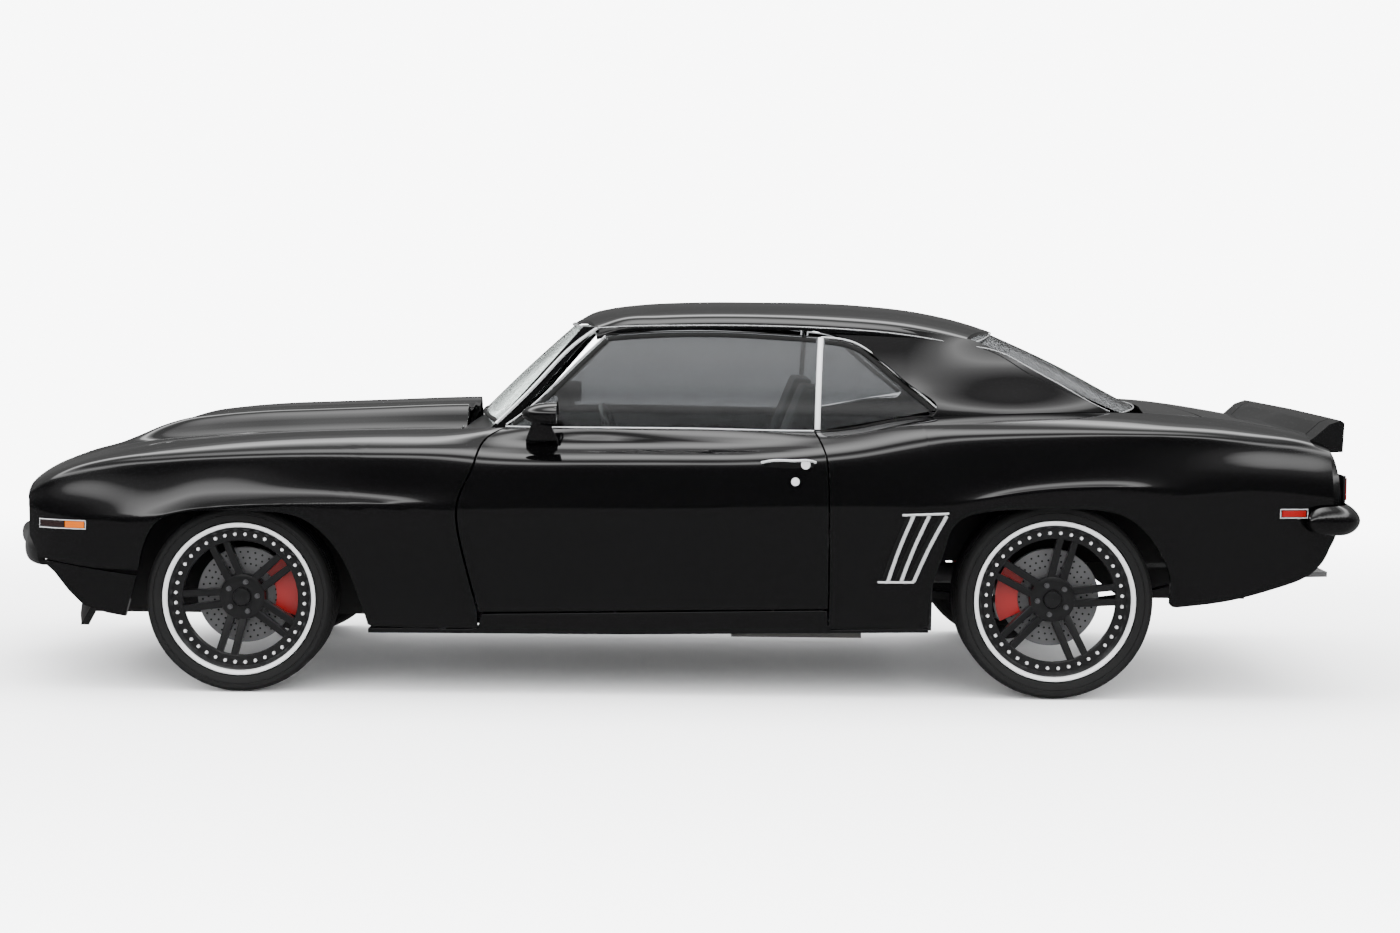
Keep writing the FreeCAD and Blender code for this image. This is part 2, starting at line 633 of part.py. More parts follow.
def front_bumper():
    """A thin blade that follows the nose and turns in at its ends."""
    path = [(2362, 0), (2336, 120), (2296, 250), (2238, 480), (2190, 660), (2164, 735), (2132, 792), (2112, 816)]
    profile = [(417, 20), (426, 7), (453, 0), (480, 6), (491, 18)]
    rows = [[(x - inset, y, z) for x, y in path] for z, inset in profile]
    blade = across_rows(rows, Vec(-size("bumper_wall"), 0, 0))
    blade = one_solid(blade.cut([once(fender), mirrored(once(fender)), once(front_valance)]))
    bracket = block((2050, 2228), (445, 475), (434, GRILLE_BOTTOM - size("seat_gap")))
    return one_solid(fused(blade, bracket, mirrored(bracket)).cut(once(radiator_support)))


VALANCE_TOP = [(2240, 0, 400), (2216, 250, 402), (2168, 460, 408), (2124, 640, 418), (2090, 762, 430)]
VALANCE_MIDDLE = [(2206, 0, 330), (2174, 250, 332), (2110, 460, 336), (2064, 620, 340), (2024, 735, 345)]
VALANCE_BOTTOM = [(2122, 0, 262), (2100, 250, 262), (2050, 440, 264), (1982, 590, 266), (1930, 690, 268)]


def front_valance():
    """The panel below the bumper, with its two sides that run back to the wheel openings."""
    wall = size("panel_wall")
    middle = across_rows([VALANCE_TOP, VALANCE_MIDDLE, VALANCE_BOTTOM], Vec(-wall, 0, wall * 0.2))
    outline = polygon([(2096, 438), (2064, 436), (1758, 395), (1800, 256), (1863, 266), (1944, 291),
                       (1994, 338), (2045, 399)])
    side = one_solid(thin_wall.common(side_prism(outline, *BODY_Y)).cut(front_opening))
    link = thick_skin(
        [[[at(*point) for point in row] for row in (
            [(2096, 755, 430), (2085, 800, 432), (2070, 850, 434)],
            [(2026, 728, 346), (2006, 785, 348), (1980, 852, 350)],
            [(1934, 684, 268), (1908, 760, 270), (1874, 850, 274)])]],
        [[[at(*point) for point in row] for row in (
            [(2066, 752, 428), (2052, 792, 430), (2035, 835, 432)],
            [(1998, 722, 348), (1976, 772, 350), (1948, 832, 352)],
            [(1906, 682, 272), (1880, 748, 274), (1846, 828, 278)])]])
    return fused(middle, side, mirrored(side), link, mirrored(link))


def chin_spoiler():
    """A blade that hangs from the valance and leans forward."""
    top = [(2108, 0, 270), (2086, 250, 270), (2040, 430, 271), (1974, 580, 272)]
    foot = [(2126, 0, 194), (2098, 250, 190), (2056, 430, 187), (2021, 580, 184)]
    blade = across_rows([top, foot], Vec(-size("panel_wall"), 0, 0))
    return one_solid(blade.cut(once(front_valance)))


def cowl():
    """The panel between the hood and the windshield, with the wiper recess."""
    rows = [[(694, 0, 884), (694, 350, 882), (694, 600, 880), (694, 686, 882)],
            [(650, 0, 892), (644, 350, 892), (640, 600, 888), (640, 708, 886)],
            [(606, 0, 906), (596, 350, 904), (584, 600, 896), (575, 728, 890)]]
    panel = across_rows(rows, Vec(0, 0, -size("lid_wall")))
    return one_solid(panel.cut(once(roof)))


# Roof, glass and pillars
ROOF_MIDDLE = [(360, 0, 1234), (324, 0, 1246), (271, 0, 1276), (208, 0, 1292), (113, 0, 1305), (-119, 0, 1318),
               (-350, 0, 1320), (-500, 0, 1320), (-707, 0, 1312), (-914, 0, 1290), (-1069, 0, 1256),
               (-1157, 0, 1228), (-1260, 0, 1190)]
ROOF_EDGE = [(360, 0, 1190), (227, 0, 1241), (159, 0, 1263), (20, 0, 1273), (-118, 0, 1278), (-350, 0, 1279),
             (-573, 0, 1272), (-863, 0, 1247), (-1038, 0, 1211), (-1260, 0, 1140)]
ROOF_STATIONS = [350, 290, 230, 160, 60, -80, -240, -400, -560, -720, -880, -1020, -1140, -1240]
# Each row's place across, the share of the way up from edge to middle, and the drop below the edge.
ROOF_ROWS = [(645, 0, 36), (632, 0, 20), (600, 0, 0), (520, 0.42, 0), (330, 0.86, 0), (0, 1, 0)]


def roof_point(x, y, share, drop):
    edge = line_point(ROOF_EDGE, x)[1]
    middle = line_point(ROOF_MIDDLE, x)[1]
    return at(x, y, edge + share * (middle - edge) - drop)


def pillar_quad(x_range, y_range, z):
    corners = [at(x_range[0], y_range[0], z), at(x_range[1], y_range[0], z), at(x_range[1], y_range[1], z),
               at(x_range[0], y_range[1], z)]
    return Part.makePolygon(corners + corners[:1])


def roof():
    """The roof skin with both windshield pillars."""
    rows = both_ways([[roof_point(x, *row) for x in ROOF_STATIONS] for row in ROOF_ROWS])
    inner = [[point - Vec(0, (1 if point.y > 0 else -1) * min(abs(point.y) / 645, 1) ** 4 * 18,
                          size("roof_wall") * (1 - 0.8 * min(abs(point.y) / 645, 1) ** 6))
              for point in row] for row in rows]
    skin = thick_skin([rows], [inner])
    plan = plan_prism([[(232, -660), (244, -600), (298, -350), (330, 0), (298, 350), (244, 600), (232, 660)],
                       [(-1020, 660), (-1042, 600), (-1130, 350), (-1168, 0), (-1130, -350), (-1042, -600),
                        (-1020, -660)]], 1000, 1400)
    skin = one_solid(skin.common(plan))
    pillar = Part.makeLoft([pillar_quad((540, 596), (664, 702), 884), pillar_quad((232, 282), (594, 634), 1238)],
                           True, True)
    return fused(skin, pillar, mirrored(pillar))


def glass_sheet(rows):
    """A curved pane, drawn as rows across the car from its middle."""
    return one_solid(across_rows(rows, Vec(-size("glass_wall"), 0, -size("glass_wall") * 0.4)))


def windshield():
    return glass_sheet([[(340, 0, 1229), (310, 300, 1227), (272, 500, 1224), (256, 582, 1221)],
                        [(512, 0, 1072), (488, 300, 1072), (450, 530, 1072), (420, 621, 1072)],
                        [(658, 0, 928), (634, 300, 926), (594, 560, 920), (568, 655, 914)]])


def rear_window():
    rows = [[(-1176, 0, 1214), (-1140, 300, 1206), (-1085, 500, 1192), (-1046, 596, 1184)],
            [(-1432, 0, 1098), (-1398, 300, 1096), (-1336, 520, 1090), (-1296, 612, 1086)],
            [(-1602, 0, 1008), (-1572, 300, 1006), (-1512, 530, 1002), (-1474, 618, 998)],
            [(-1690, 0, 962), (-1664, 300, 960), (-1608, 530, 958), (-1572, 622, 956)]]
    pane = across_rows(rows, Vec(size("glass_wall"), 0, -size("glass_wall")))
    return one_solid(pane.cut([once(roof), once(sail_panel), mirrored(once(sail_panel))]))


SIDE_GLASS_LEAN = [(860, 764), (900, 760), (1000, 728), (1100, 691), (1180, 658), (1240, 632)]


def side_glass(outline):
    """A pane that follows the lean of the cabin side."""
    stations = [620, 300, 0, -300, -600, -960]
    wall = size("glass_wall")
    outer = [[at(x, y, z) for x in stations] for z, y in SIDE_GLASS_LEAN]
    inner = [[point - Vec(0, wall, 0) for point in row] for row in outer]
    pane = thick_skin([outer], [inner])
    return one_solid(pane.common(side_prism(outline, 300, 900)))


def door_glass():
    pane = side_glass([[(540, 890), (470, 950), (330, 1085), (200, 1208)],
                       [(200, 1208), (20, 1218), (-300, 1218), (-526, 1205)], [(-526, 1205), (-505, 890)]])
    return one_solid(pane.cut(once(door)))


def quarter_glass():
    pane = side_glass([[(-534, 1212), (-640, 1190)], [(-640, 1190), (-960, 985)],
                       [(-960, 900), (-700, 884), (-528, 884)]])
    return one_solid(pane.cut([once(quarter), once(sail_panel), once(roof)]))


# Rear deck, lid and tail
DECK_MIDDLE = [(-1560, 0, 990), (-1701, 0, 966), (-1846, 0, 955), (-2064, 0, 925), (-2200, 0, 901),
               (-2330, 0, 874)]
DECK_STATIONS = [-1640, -1720, -1800, -1880, -1960, -2040, -2120, -2200, -2270]
DECK_ROWS = [(None, 0), (560, 0.45), (330, 0.85), (0, 1)]
LID_HALF = 634
LID_FRONT = -1846
LID_GAP = 7.5
LID_REAR = -2240
# The lid's arm drops from the pivot, passes below the deck panel's edge and rises to the lid.
LID_NECK = [(-1690, 925), (-1690, 760), (-1700, 750), (-1894, 750), (-1906, 762), (-1906, 940), (-1884, 940),
            (-1884, 784), (-1872, 772), (-1722, 772), (-1710, 784), (-1710, 925)]


def deck_solid():
    def point(x, y, share):
        edge_y, edge_z = line_point(TOP, x)
        across = edge_y + 3 if y is None else y
        return at(x, across, edge_z + share * (line_point(DECK_MIDDLE, x)[1] - edge_z))
    rows = both_ways([[point(x, *row) for x in DECK_STATIONS] for row in DECK_ROWS])
    return thick_skin([rows], [sunk(rows, size("lid_wall"))])


def deck_panel():
    """The fixed panel between the rear window and the lid."""
    plan = plan_prism([[(LID_FRONT + LID_GAP, -700), (LID_FRONT + LID_GAP, 700)],
                       [(-1640, 700), (-1652, 530), (-1684, 300), (-1703, 0), (-1684, -300), (-1652, -530),
                        (-1640, -700)]], 800, 1100)
    panel = one_solid(deck_solid().common(plan).cut([thin_wall, mirrored(thin_wall)]))
    cheeks = hinge_cheeks(LID_PIVOT, [(-1710, 925), (-1712, 954), (-1688, 954), (-1690, 925)],
                          size("lid_hinge_y"))
    return fused(panel, cheeks, mirrored(cheeks))


def trunk_lid():
    """The lid with its lip and the two bent arms that carry it below the deck panel."""
    top = deck_solid().common(block((LID_REAR, LID_FRONT), (-LID_HALF, LID_HALF), (800, 1100)))
    lip = block((LID_REAR - 16, LID_REAR + 6), (-LID_HALF, LID_HALF), (812, 886))
    neck = hinge_ear(LID_PIVOT, LID_NECK, size("lid_hinge_y"))
    return fused(one_solid(top), lip, neck, mirrored(neck))


SPOILER_CREST = 952


def spoiler(y_from, y_to, droop_from, droop_to):
    """A raised blade across the tail: a level crest over a foot that falls to the sides."""
    sections = []
    for y, droop in ((y_from, droop_from), ((y_from + y_to) / 2, (droop_from + droop_to) / 2), (y_to, droop_to)):
        base = line_point(DECK_MIDDLE, -2200)[1] - 0.00006 * y * y - droop
        crest = SPOILER_CREST - 0.000007 * y * y
        corners = [(-2162, base + 9), (-2204, base + 14 + 0.3 * (crest - base - 14)), (-2250, crest - 14),
                   (-2290, crest), (-2302, crest - 9), (-2298, base - 14), (-2256, base - 16),
                   (-2238, base + 1)]
        points = [at(x, y, z) for x, z in corners]
        sections.append(Part.makePolygon(points + points[:1]))
    return Part.makeLoft(sections, True, True)


def spoiler_end():
    """The part of the spoiler that stays on the quarter panel, with its drooping tip."""
    return one_solid(spoiler(640, 780, 24, 10).cut(once(quarter)))


def tail_panel():
    """The rear face between the quarters, down to the rear valance's foot."""
    rows = [[(-2262, 0, 872), (-2262, 400, 868), (-2258, 700, 850), (-2256, 850, 830)],
            [(-2290, 0, 800), (-2288, 400, 800), (-2280, 700, 798), (-2266, 850, 790)],
            [(-2304, 0, 690), (-2302, 400, 690), (-2294, 700, 690), (-2276, 860, 690)],
            [(-2296, 0, 580), (-2294, 400, 580), (-2286, 700, 580), (-2268, 860, 580)],
            [(-2262, 0, 500), (-2260, 400, 500), (-2252, 700, 500), (-2240, 840, 500)],
            [(-2180, 0, 430), (-2178, 400, 430), (-2172, 700, 430), (-2160, 820, 430)],
            [(-2110, 0, 404), (-2108, 400, 404), (-2104, 700, 404), (-2096, 800, 404)]]
    face = across_rows(rows, Vec(size("panel_wall"), 0, 0))
    outline = polygon([(0, 803), (640, 803), (640, 884), (704, 872), (775, 846), (803, 815), (838, 760),
                       (862, 684), (862, 600), (838, 545), (800, 470), (780, 390), (0, 390)])
    half = end_prism(outline, -2400, -2000)
    behind_quarter = block((-2400, -2250), (-900, 900), (300, 1000))
    between = block((-2400, -2000), (-790, 790), (300, 560))
    panel = one_solid(face.common(fused(half, mirrored(half))).common(fused(behind_quarter, between)))
    pad = fused(panel, block((-2290, -2225), (-155, 155), (470, 560)))
    holes = [Part.makeCylinder(size("plate_hole_radius"), 30,
                               Vec(along(-2292), side * size("plate_hole_spacing") / 2, size("plate_hole_z")),
                               Vec(1, 0, 0)) for side in (-1, 1)]
    neighbours = [once(quarter), once(spoiler_end)]
    return one_solid(pad.cut(holes + neighbours + [mirrored(piece) for piece in neighbours]))


def tail_lamp():
    """Three upright lenses on one base."""
    lenses = [block((-2316, -2303), (y, y + 150), (675, 755)) for y in (300, 465, 630)]
    base = block((-2309, -2304.6), (295, 785), (670, 760))
    return fused(base, *lenses)


def rear_bumper():
    """A bar with a wedge section that wraps round the tail and tapers to rounded ends."""
    path = [(-2362, 0), (-2362, 300), (-2361, 600), (-2357, 780), (-2341, 862), (-2304, 910), (-2250, 931),
            (-2196, 937), (-2160, 934)]
    inner = [(-2322, 0), (-2322, 300), (-2320, 600), (-2312, 770), (-2296, 842), (-2266, 880), (-2226, 898),
             (-2188, 906), (-2160, 912)]
    tallness = [1, 1, 1, 1, 1, 1, 0.97, 0.84, 0.4]
    middle_z = 617
    profile = [(-50, 0.8), (-40, 0.42), (-23, 0.12), (-4, 0), (17, 0.14), (35, 0.46), (49, 0.88)]
    outer_rows = []
    inner_rows = []
    for rise, inset in profile:
        heights = [middle_z + rise * share for share in tallness]
        row = [(far[0] + inset * (near[0] - far[0]), far[1] + inset * (near[1] - far[1]), z)
               for far, near, z in zip(path, inner, heights)]
        outer_rows.append([at(*point) for point in full_width(row)])
        inner_rows.append([at(*point) for point in full_width([(x, y, z) for (x, y), z in zip(inner, heights)])])
    bracket = block((-2325, -2290), (300, 340), (600, 640))
    bar = fused(one_solid(thick_skin([outer_rows], [inner_rows])), bracket, mirrored(bracket))
    return one_solid(bar.cut(once(tail_panel)))


def mirror_head():
    """A bullet-shaped mirror on its foot, on the door."""
    centre = at(412, 0, 950) + Vec(0, size("half_width") - 12, 0)
    rings = []
    for share in (-0.98, -0.8, -0.45, 0, 0.45, 0.8, 0.98):
        middle = centre + Vec(0, 86 * share, 0)
        scale = math.sqrt(1 - share * share)
        ring = Part.Ellipse(middle + Vec(62 * scale, 0, 0), middle + Vec(0, 0, 42 * scale), middle)
        rings.append(Part.Wire(ring.toShape()))
    head = Part.makeLoft(rings, True)
    rear_cut = block((300, 372), (700, 1100), (850, 1050))
    foot = Part.makeLoft([pillar_quad((350, 470), (800, 858), 850), pillar_quad((385, 440), (846, 884), 938)],
                         True, True)
    return one_solid(fused(head.cut(rear_cut), foot).cut(once(door)))


# Turned and built-up parts, with their sizes bound to the sheet's cells.

def bound(expression):
    """The expression with each size's name pointed at its cell."""
    return re.sub(r"([a-z][a-z_]+)", r"Sizes.\1", expression)


def turned_body(name, profile, axle_x, axle_z):
    """A body turned about a crosswise axle from a closed profile of (y, radius) expressions."""
    body = doc.addObject("PartDesign::Body", name)
    plane = next(item for item in body.Origin.OriginFeatures if item.Role == "YZ_Plane")
    sketch = body.newObject("Sketcher::SketchObject", name + "_profile")
    sketch.AttachmentSupport = [(plane, "")]
    sketch.MapMode = "FlatFace"
    count = len(profile)
    start_radius = 200
    # The corners start on a circle, and their dimensions then draw them to their places.
    angles = [2 * math.pi * index / count for index in range(count)]
    corners = [Vec(600 - start_radius * math.cos(angle), 300 + start_radius * math.sin(angle), 0)
               for angle in angles]
    for index in range(count):
        sketch.addGeometry(Part.LineSegment(corners[index], corners[(index + 1) % count]))
    for index in range(count):
        sketch.addConstraint(Sketcher.Constraint("Coincident", index, 2, (index + 1) % count, 1))
    for index, (across, radius) in enumerate(profile):
        for kind, expression, guess in (("DistanceX", across, corners[index].x),
                                        ("DistanceY", radius, corners[index].y)):
            number = sketch.addConstraint(Sketcher.Constraint(kind, -1, 1, index, 1, guess))
            sketch.setExpression("Constraints[%d]" % number, bound(expression))
    doc.recompute()
    turning = body.newObject("PartDesign::Revolution", name + "_turned")
    turning.Profile = sketch
    turning.ReferenceAxis = (sketch, ["H_Axis"])
    turning.Angle = 360
    body.setExpression("Placement.Base.x", bound(axle_x))
    body.setExpression("Placement.Base.z", bound(axle_z))
    return body


def primitive(kind, name, turn=None, **expressions):
    """A Part primitive whose sizes and place follow the sheet. x, y and z are its place."""
    item = doc.addObject("Part::" + kind, name)
    if turn:
        item.Placement = FreeCAD.Placement(Vec(), FreeCAD.Rotation(*turn))
    for key, expression in expressions.items():
        path = "Placement.Base." + key if key in ("x", "y", "z") else key
        item.setExpression(path, bound(expression))
    return item


def joined(name, pieces):
    fuse = doc.addObject("Part::MultiFuse", name)
    fuse.Shapes = pieces
    fuse.Refine = False
    return fuse


def keep_node(item, label):
    item.Label = label
    nodes.append(item)
    return item


def keep_mirrored(item, label):
    twin = doc.addObject("Part::Mirroring", label)
    twin.Source = item
    twin.Normal = Vec(0, 1, 0)
    return keep_node(twin, label)


ALONG_Y = (Vec(1, 0, 0), -90)
ALONG_X = (Vec(0, 1, 0), 90)


def tyre(end):
    """A low-profile tyre, shaped by its tread radius, width and the rim's lip."""
    face = "wheel_face"
    back = "wheel_face - %s_tyre_width" % end
    radius = "%s_tyre_radius" % end
    bead = "%s_lip_radius - 14 + seat_gap" % end
    edge = "%s_lip_radius" % end
    profile = [(face + " - 19.5", bead), (face + " - 16.5", edge + " + 0.5"), (face + " - 8", edge + " + 5"),
               (face, radius + " - 26"),
               (face + " - 7", radius + " - 13"), (face + " - 26", radius + " - 3"), (face + " - 60", radius),
               (back + " + 60", radius), (back + " + 26", radius + " - 3"), (back + " + 7", radius + " - 13"),
               (back, radius + " - 26"), (back + " + 8", edge + " + 5"), (back + " + 16.5", edge + " + 0.5"),
               (back + " + 19.5", bead)]
    return turned_body("tyre_" + end, profile, end + "_axle_x", radius)


def rim_ring(end):
    """The barrel with its two lips and the stepped ring that the spokes meet."""
    front = "wheel_face - 10"
    back = "wheel_face - %s_tyre_width + 10" % end
    lip = "%s_lip_radius" % end
    seat = lip + " - 14"
    profile = [(front, lip), (front + " - 6", lip), (front + " - 9", seat), (back + " + 9", seat),
               (back + " + 6", lip), (back, lip), (back, lip + " - 8"), (back + " + 8", seat + " - rim_wall"),
               (front + " - lip_depth - ring_wall", seat + " - rim_wall"),
               (front + " - lip_depth - ring_wall", lip + " - 64"),
               (front + " - lip_depth", lip + " - 64"), (front + " - lip_depth", seat + " - rim_wall"),
               (front + " - 9", seat + " - rim_wall + 2"), (front, lip + " - 8")]
    return turned_body("barrel_" + end, profile, end + "_axle_x", "%s_tyre_radius" % end)


def hub(end):
    """The wheel's centre, with the brake disc on its back, bored for the spindle."""
    face = "wheel_face - spoke_inset - 30"
    back = face + " - hub_depth"
    disc = "%s_disc_radius" % end
    profile = [(face, "bore_radius"), (face, "hub_radius"), (face + " - 24", "hub_radius"),
               (back, "hub_radius"), (back, disc), (back + " - disc_thickness", disc),
               (back + " - disc_thickness", "bore_radius")]
    return turned_body("hub_" + end, profile, end + "_axle_x", "%s_tyre_radius" % end)


def spoke_pair_boxes(end, count=5):
    """Twin slim spokes that lean in from the ring to the hub."""
    lip = size("%s_lip_radius" % end)
    hub_face = size("wheel_face") - size("spoke_inset") - 30
    ring_face = size("wheel_face") - 36
    reach = lip - 50
    start = size("hub_radius") - 40
    lean = math.degrees(math.atan2(ring_face - hub_face, reach - size("hub_radius")))
    centre = Vec(size(end + "_axle_x"), 0, size("%s_tyre_radius" % end))
    spokes = []
    turn_of_first = 22 if end == "front" else -12
    for index in range(count):
        angle = turn_of_first + 360 / count * index
        for side in (-1, 1):
            name = "spoke_%s_%d_%s" % (end, index + 1, "a" if side < 0 else "b")
            spoke = primitive("Box", name, Length="spoke_width", Width="spoke_depth",
                              Height="%s_lip_radius - 50 - hub_radius + 40" % end)
            turn = FreeCAD.Rotation(Vec(0, 1, 0), angle) * FreeCAD.Rotation(Vec(1, 0, 0), -lean)
            foot = Vec(side * 24 - size("spoke_width") / 2, hub_face - size("spoke_depth") - 14, start)
            spoke.Placement = FreeCAD.Placement(centre + FreeCAD.Rotation(Vec(0, 1, 0), angle).multVec(foot), turn)
            spokes.append(spoke)
    return spokes


def wheel(end):
    """One wheel: ring, hub with disc, and five pairs of spokes."""
    return joined("rim_" + end, [rim_ring(end), hub(end)] + spoke_pair_boxes(end))


def engine():
    """Engine and gearbox as plain blocks at their real place and size."""
    block_part = primitive("Box", "engine_box", Length="620", Width="500", Height="430",
                           x="front_axle_x - 420", y="-250", z="rail_z + 90")
    gearbox = primitive("Box", "gearbox_box", Length="640", Width="220", Height="160",
                        x="front_axle_x - 1050", y="-110", z="rail_z + 60")
    shaft = primitive("Cylinder", "prop_shaft", ALONG_X, Radius="38",
                      Height="front_axle_x - 1040 - rear_axle_x - diff_radius - seat_gap",
                      x="rear_axle_x + diff_radius + seat_gap", z="rear_tyre_radius")
    return joined("powertrain", [block_part, gearbox, shaft])


def rear_axle():
    """Live axle with its differential, spindles and red brake calipers."""
    end_y = "wheel_face - spoke_inset - 30"
    tube = primitive("Cylinder", "axle_tube", ALONG_Y, Radius="axle_tube_radius",
                     Height="2 * (%s - hub_depth - disc_thickness - 4)" % end_y, x="rear_axle_x",
                     y="-(%s - hub_depth - disc_thickness - 4)" % end_y, z="rear_tyre_radius")
    spindle = primitive("Cylinder", "rear_spindle", ALONG_Y, Radius="spindle_radius",
                        Height="2 * (%s - 4)" % end_y, x="rear_axle_x", y="-(%s - 4)" % end_y,
                        z="rear_tyre_radius")
    ball = primitive("Sphere", "diff", Radius="diff_radius", x="rear_axle_x", z="rear_tyre_radius")
    return joined("rear_axle", [tube, spindle, ball])


def caliper(end, front_side):
    """A caliper that spans the disc's edge, on one side of the axle."""
    centre_x = size(end + "_axle_x")
    centre_z = size("%s_tyre_radius" % end)
    disc_radius = size("%s_disc_radius" % end)
    face = size("wheel_face") - size("spoke_inset") - 30 - size("hub_depth")
    outer = Part.makeCylinder(disc_radius + 24, 78, Vec(centre_x, face - 53, centre_z), Vec(0, 1, 0))
    inner = Part.makeCylinder(disc_radius - 52, 78, Vec(centre_x, face - 53, centre_z), Vec(0, 1, 0))
    slot = Part.makeCylinder(disc_radius + 5, size("disc_thickness") + 10,
                             Vec(centre_x, face - size("disc_thickness") - 5, centre_z), Vec(0, 1, 0))
    sign = 1 if front_side else -1
    wedge_points = [Vec(centre_x, face - 60, centre_z)]
    middle = 8 if end == "rear" else 12
    for degrees in (middle - 33, middle, middle + 33):
        angle = math.radians(degrees)
        wedge_points.append(Vec(centre_x + sign * 330 * math.cos(angle), face - 60,
                                centre_z + 330 * math.sin(angle)))
    wedge = Part.Face(Part.makePolygon(wedge_points + wedge_points[:1])).extrude(Vec(0, 100, 0))
    return one_solid(outer.cut(inner).common(wedge).cut(slot))


def rear_caliper():
    """The rear caliper with its bracket, which reaches inboard of the disc to the axle tube."""
    centre_x = size("rear_axle_x")
    disc_back = size("wheel_face") - size("spoke_inset") - 30 - size("hub_depth") - size("disc_thickness")
    start = size("axle_tube_radius") + size("seat_gap")
    bracket = Part.makeBox(90, 18, 70, Vec(centre_x + start, disc_back - 24, size("rear_tyre_radius") - 25))
    return fused(caliper("rear", True), bracket)


def knuckle():
    """Upright with its spindle, and the front caliper bolted behind it."""
    centre_x = size("front_axle_x")
    centre_z = size("front_tyre_radius")
    face = size("wheel_face") - size("spoke_inset") - 30
    disc_back = face - size("hub_depth") - size("disc_thickness")
    spindle = Part.makeCylinder(size("spindle_radius"), face - 4 - 680, Vec(centre_x, 680, centre_z), Vec(0, 1, 0))
    post_y = size("kingpin_y") - 26
    post = Part.makeBox(60, disc_back - 6 - post_y, 250, Vec(centre_x - 30, post_y, centre_z - 125))
    bracket = Part.makeBox(130, 20, 90, Vec(centre_x - 140, disc_back - 26, centre_z - 20))
    post_link = Part.makeBox(60, disc_back - 6 - post_y, 60, Vec(centre_x - 30, post_y, centre_z - 30))
    whole = fused(spindle, post, post_link, bracket, caliper("front", False))
    bores = [Part.makeCylinder(size("kingpin_bore_radius"), 60, Vec(centre_x, size("kingpin_y"), foot))
             for foot in (centre_z - 125, centre_z + 65)]
    return one_solid(whole.cut(bores))


def front_subframe():
    """Two rails with a cross-member, and the fixed arms that carry the knuckles."""
    axle_x = size("front_axle_x")
    axle_z = size("front_tyre_radius")
    rail_y = size("rail_y")
    half = size("rail_width") / 2
    z = size("rail_z")
    height = size("rail_height")
    rail_start = along(755) + size("seat_gap")
    rail = Part.makeBox(axle_x + 590 - rail_start, 2 * half, height, Vec(rail_start, rail_y - half, z))
    cross_top = z + 90 - size("seat_gap")
    cross = Part.makeBox(180, rail_y, cross_top - z + 16, Vec(axle_x - 90, 0, z - 16))
    tower = Part.makeBox(110, 2 * half, 300, Vec(axle_x - 55, rail_y - half, z))
    inner_y = rail_y + half - 10
    # The arms end short of the kingpin's outer side, so that the disc clears them at full lock.
    outer_y = size("kingpin_y") - 2
    arm = size("arm_thickness")
    arms = []
    for level in (axle_z - 125 - arm - size("seat_gap"), axle_z + 125 + size("seat_gap")):
        points = [Vec(axle_x - 110, inner_y, level), Vec(axle_x - 20, outer_y, level),
                  Vec(axle_x + 20, outer_y, level), Vec(axle_x + 110, inner_y, level)]
        arms.append(Part.Face(Part.makePolygon(points + points[:1])).extrude(Vec(0, 0, arm)))
    left = fused(rail, cross, tower, *arms)
    return fused(left, mirrored(left))


def leaf_spring():
    """One leaf pack from its front eye to its shackle, under the axle."""
    axle_x = size("rear_axle_x")
    leaf = 26
    low = size("rear_tyre_radius") - size("axle_tube_radius") - leaf - size("seat_gap")
    eye_x = along(-820) - size("seat_gap")
    tail_z = size("trunk_floor_z") - size("seat_gap") - leaf
    half = size("leaf_width") / 2
    top = [(eye_x, low + 45), (axle_x + 240, low + 16), (axle_x, low), (axle_x - 330, low + 28),
           (axle_x - 640, tail_z)]
    upper = Part.BSplineCurve()
    upper.interpolate([Vec(x, size("leaf_y") - half, z + leaf) for x, z in top])
    lower = Part.BSplineCurve()
    lower.interpolate([Vec(x, size("leaf_y") - half, z) for x, z in top])
    wire = Part.Wire([upper.toShape(), Part.makeLine(upper.EndPoint, lower.EndPoint), lower.toShape(),
                      Part.makeLine(lower.StartPoint, upper.StartPoint)])
    return Part.Face(wire).extrude(Vec(0, 2 * half, 0))


TUNNEL_TOP = 452
SHELF_Z = 882
JACK_X = (560, -640)


def tunnel_space(margin):
    """The space inside the floor's tunnel, or with a margin the space that the tunnel itself takes."""
    low = size("floor_z") - 40
    return end_prism(polygon([(-168 - margin, low), (-140 - margin, TUNNEL_TOP + margin),
                              (140 + margin, TUNNEL_TOP + margin), (168 + margin, low)]), 800, -830)


def clear_of_skins(shape):
    """The shape without the places that the outer panels and the tail take."""
    return shape.cut([thin_wall, mirrored(thin_wall), once(tail_panel), once(rocker), mirrored(once(rocker))])


def trunk_floor():
    """Flat floor of the trunk, with its sides under the quarter panels."""
    z = size("trunk_floor_z")
    middle = block((-2246, -1622), (-570, 570), (z, z + size("floor_wall")))
    side = block((-2246, -1760), (560, 905), (z, z + size("floor_wall")))
    return one_solid(clear_of_skins(fused(middle, side, mirrored(side))))


def wheelhouse():
    """Housing over the left rear wheel: its inner wall, its roof and its front."""
    trunk_z = size("trunk_floor_z")
    wall = block((-1760, -905), (570, 586), (trunk_z + size("floor_wall"), SHELF_Z - size("seat_gap")))
    roof_plate = block((-1690, -905), (570, 905), (700, 716))
    front = block((-905, -889), (570, 905), (size("floor_z"), 716))
    front_link = block((-905, -889), (570, 586), (700, SHELF_Z - size("seat_gap")))
    housing = clear_of_skins(fused(wall, roof_plate, front, front_link))
    return one_solid(housing.cut(side_wall(housed_inward)))


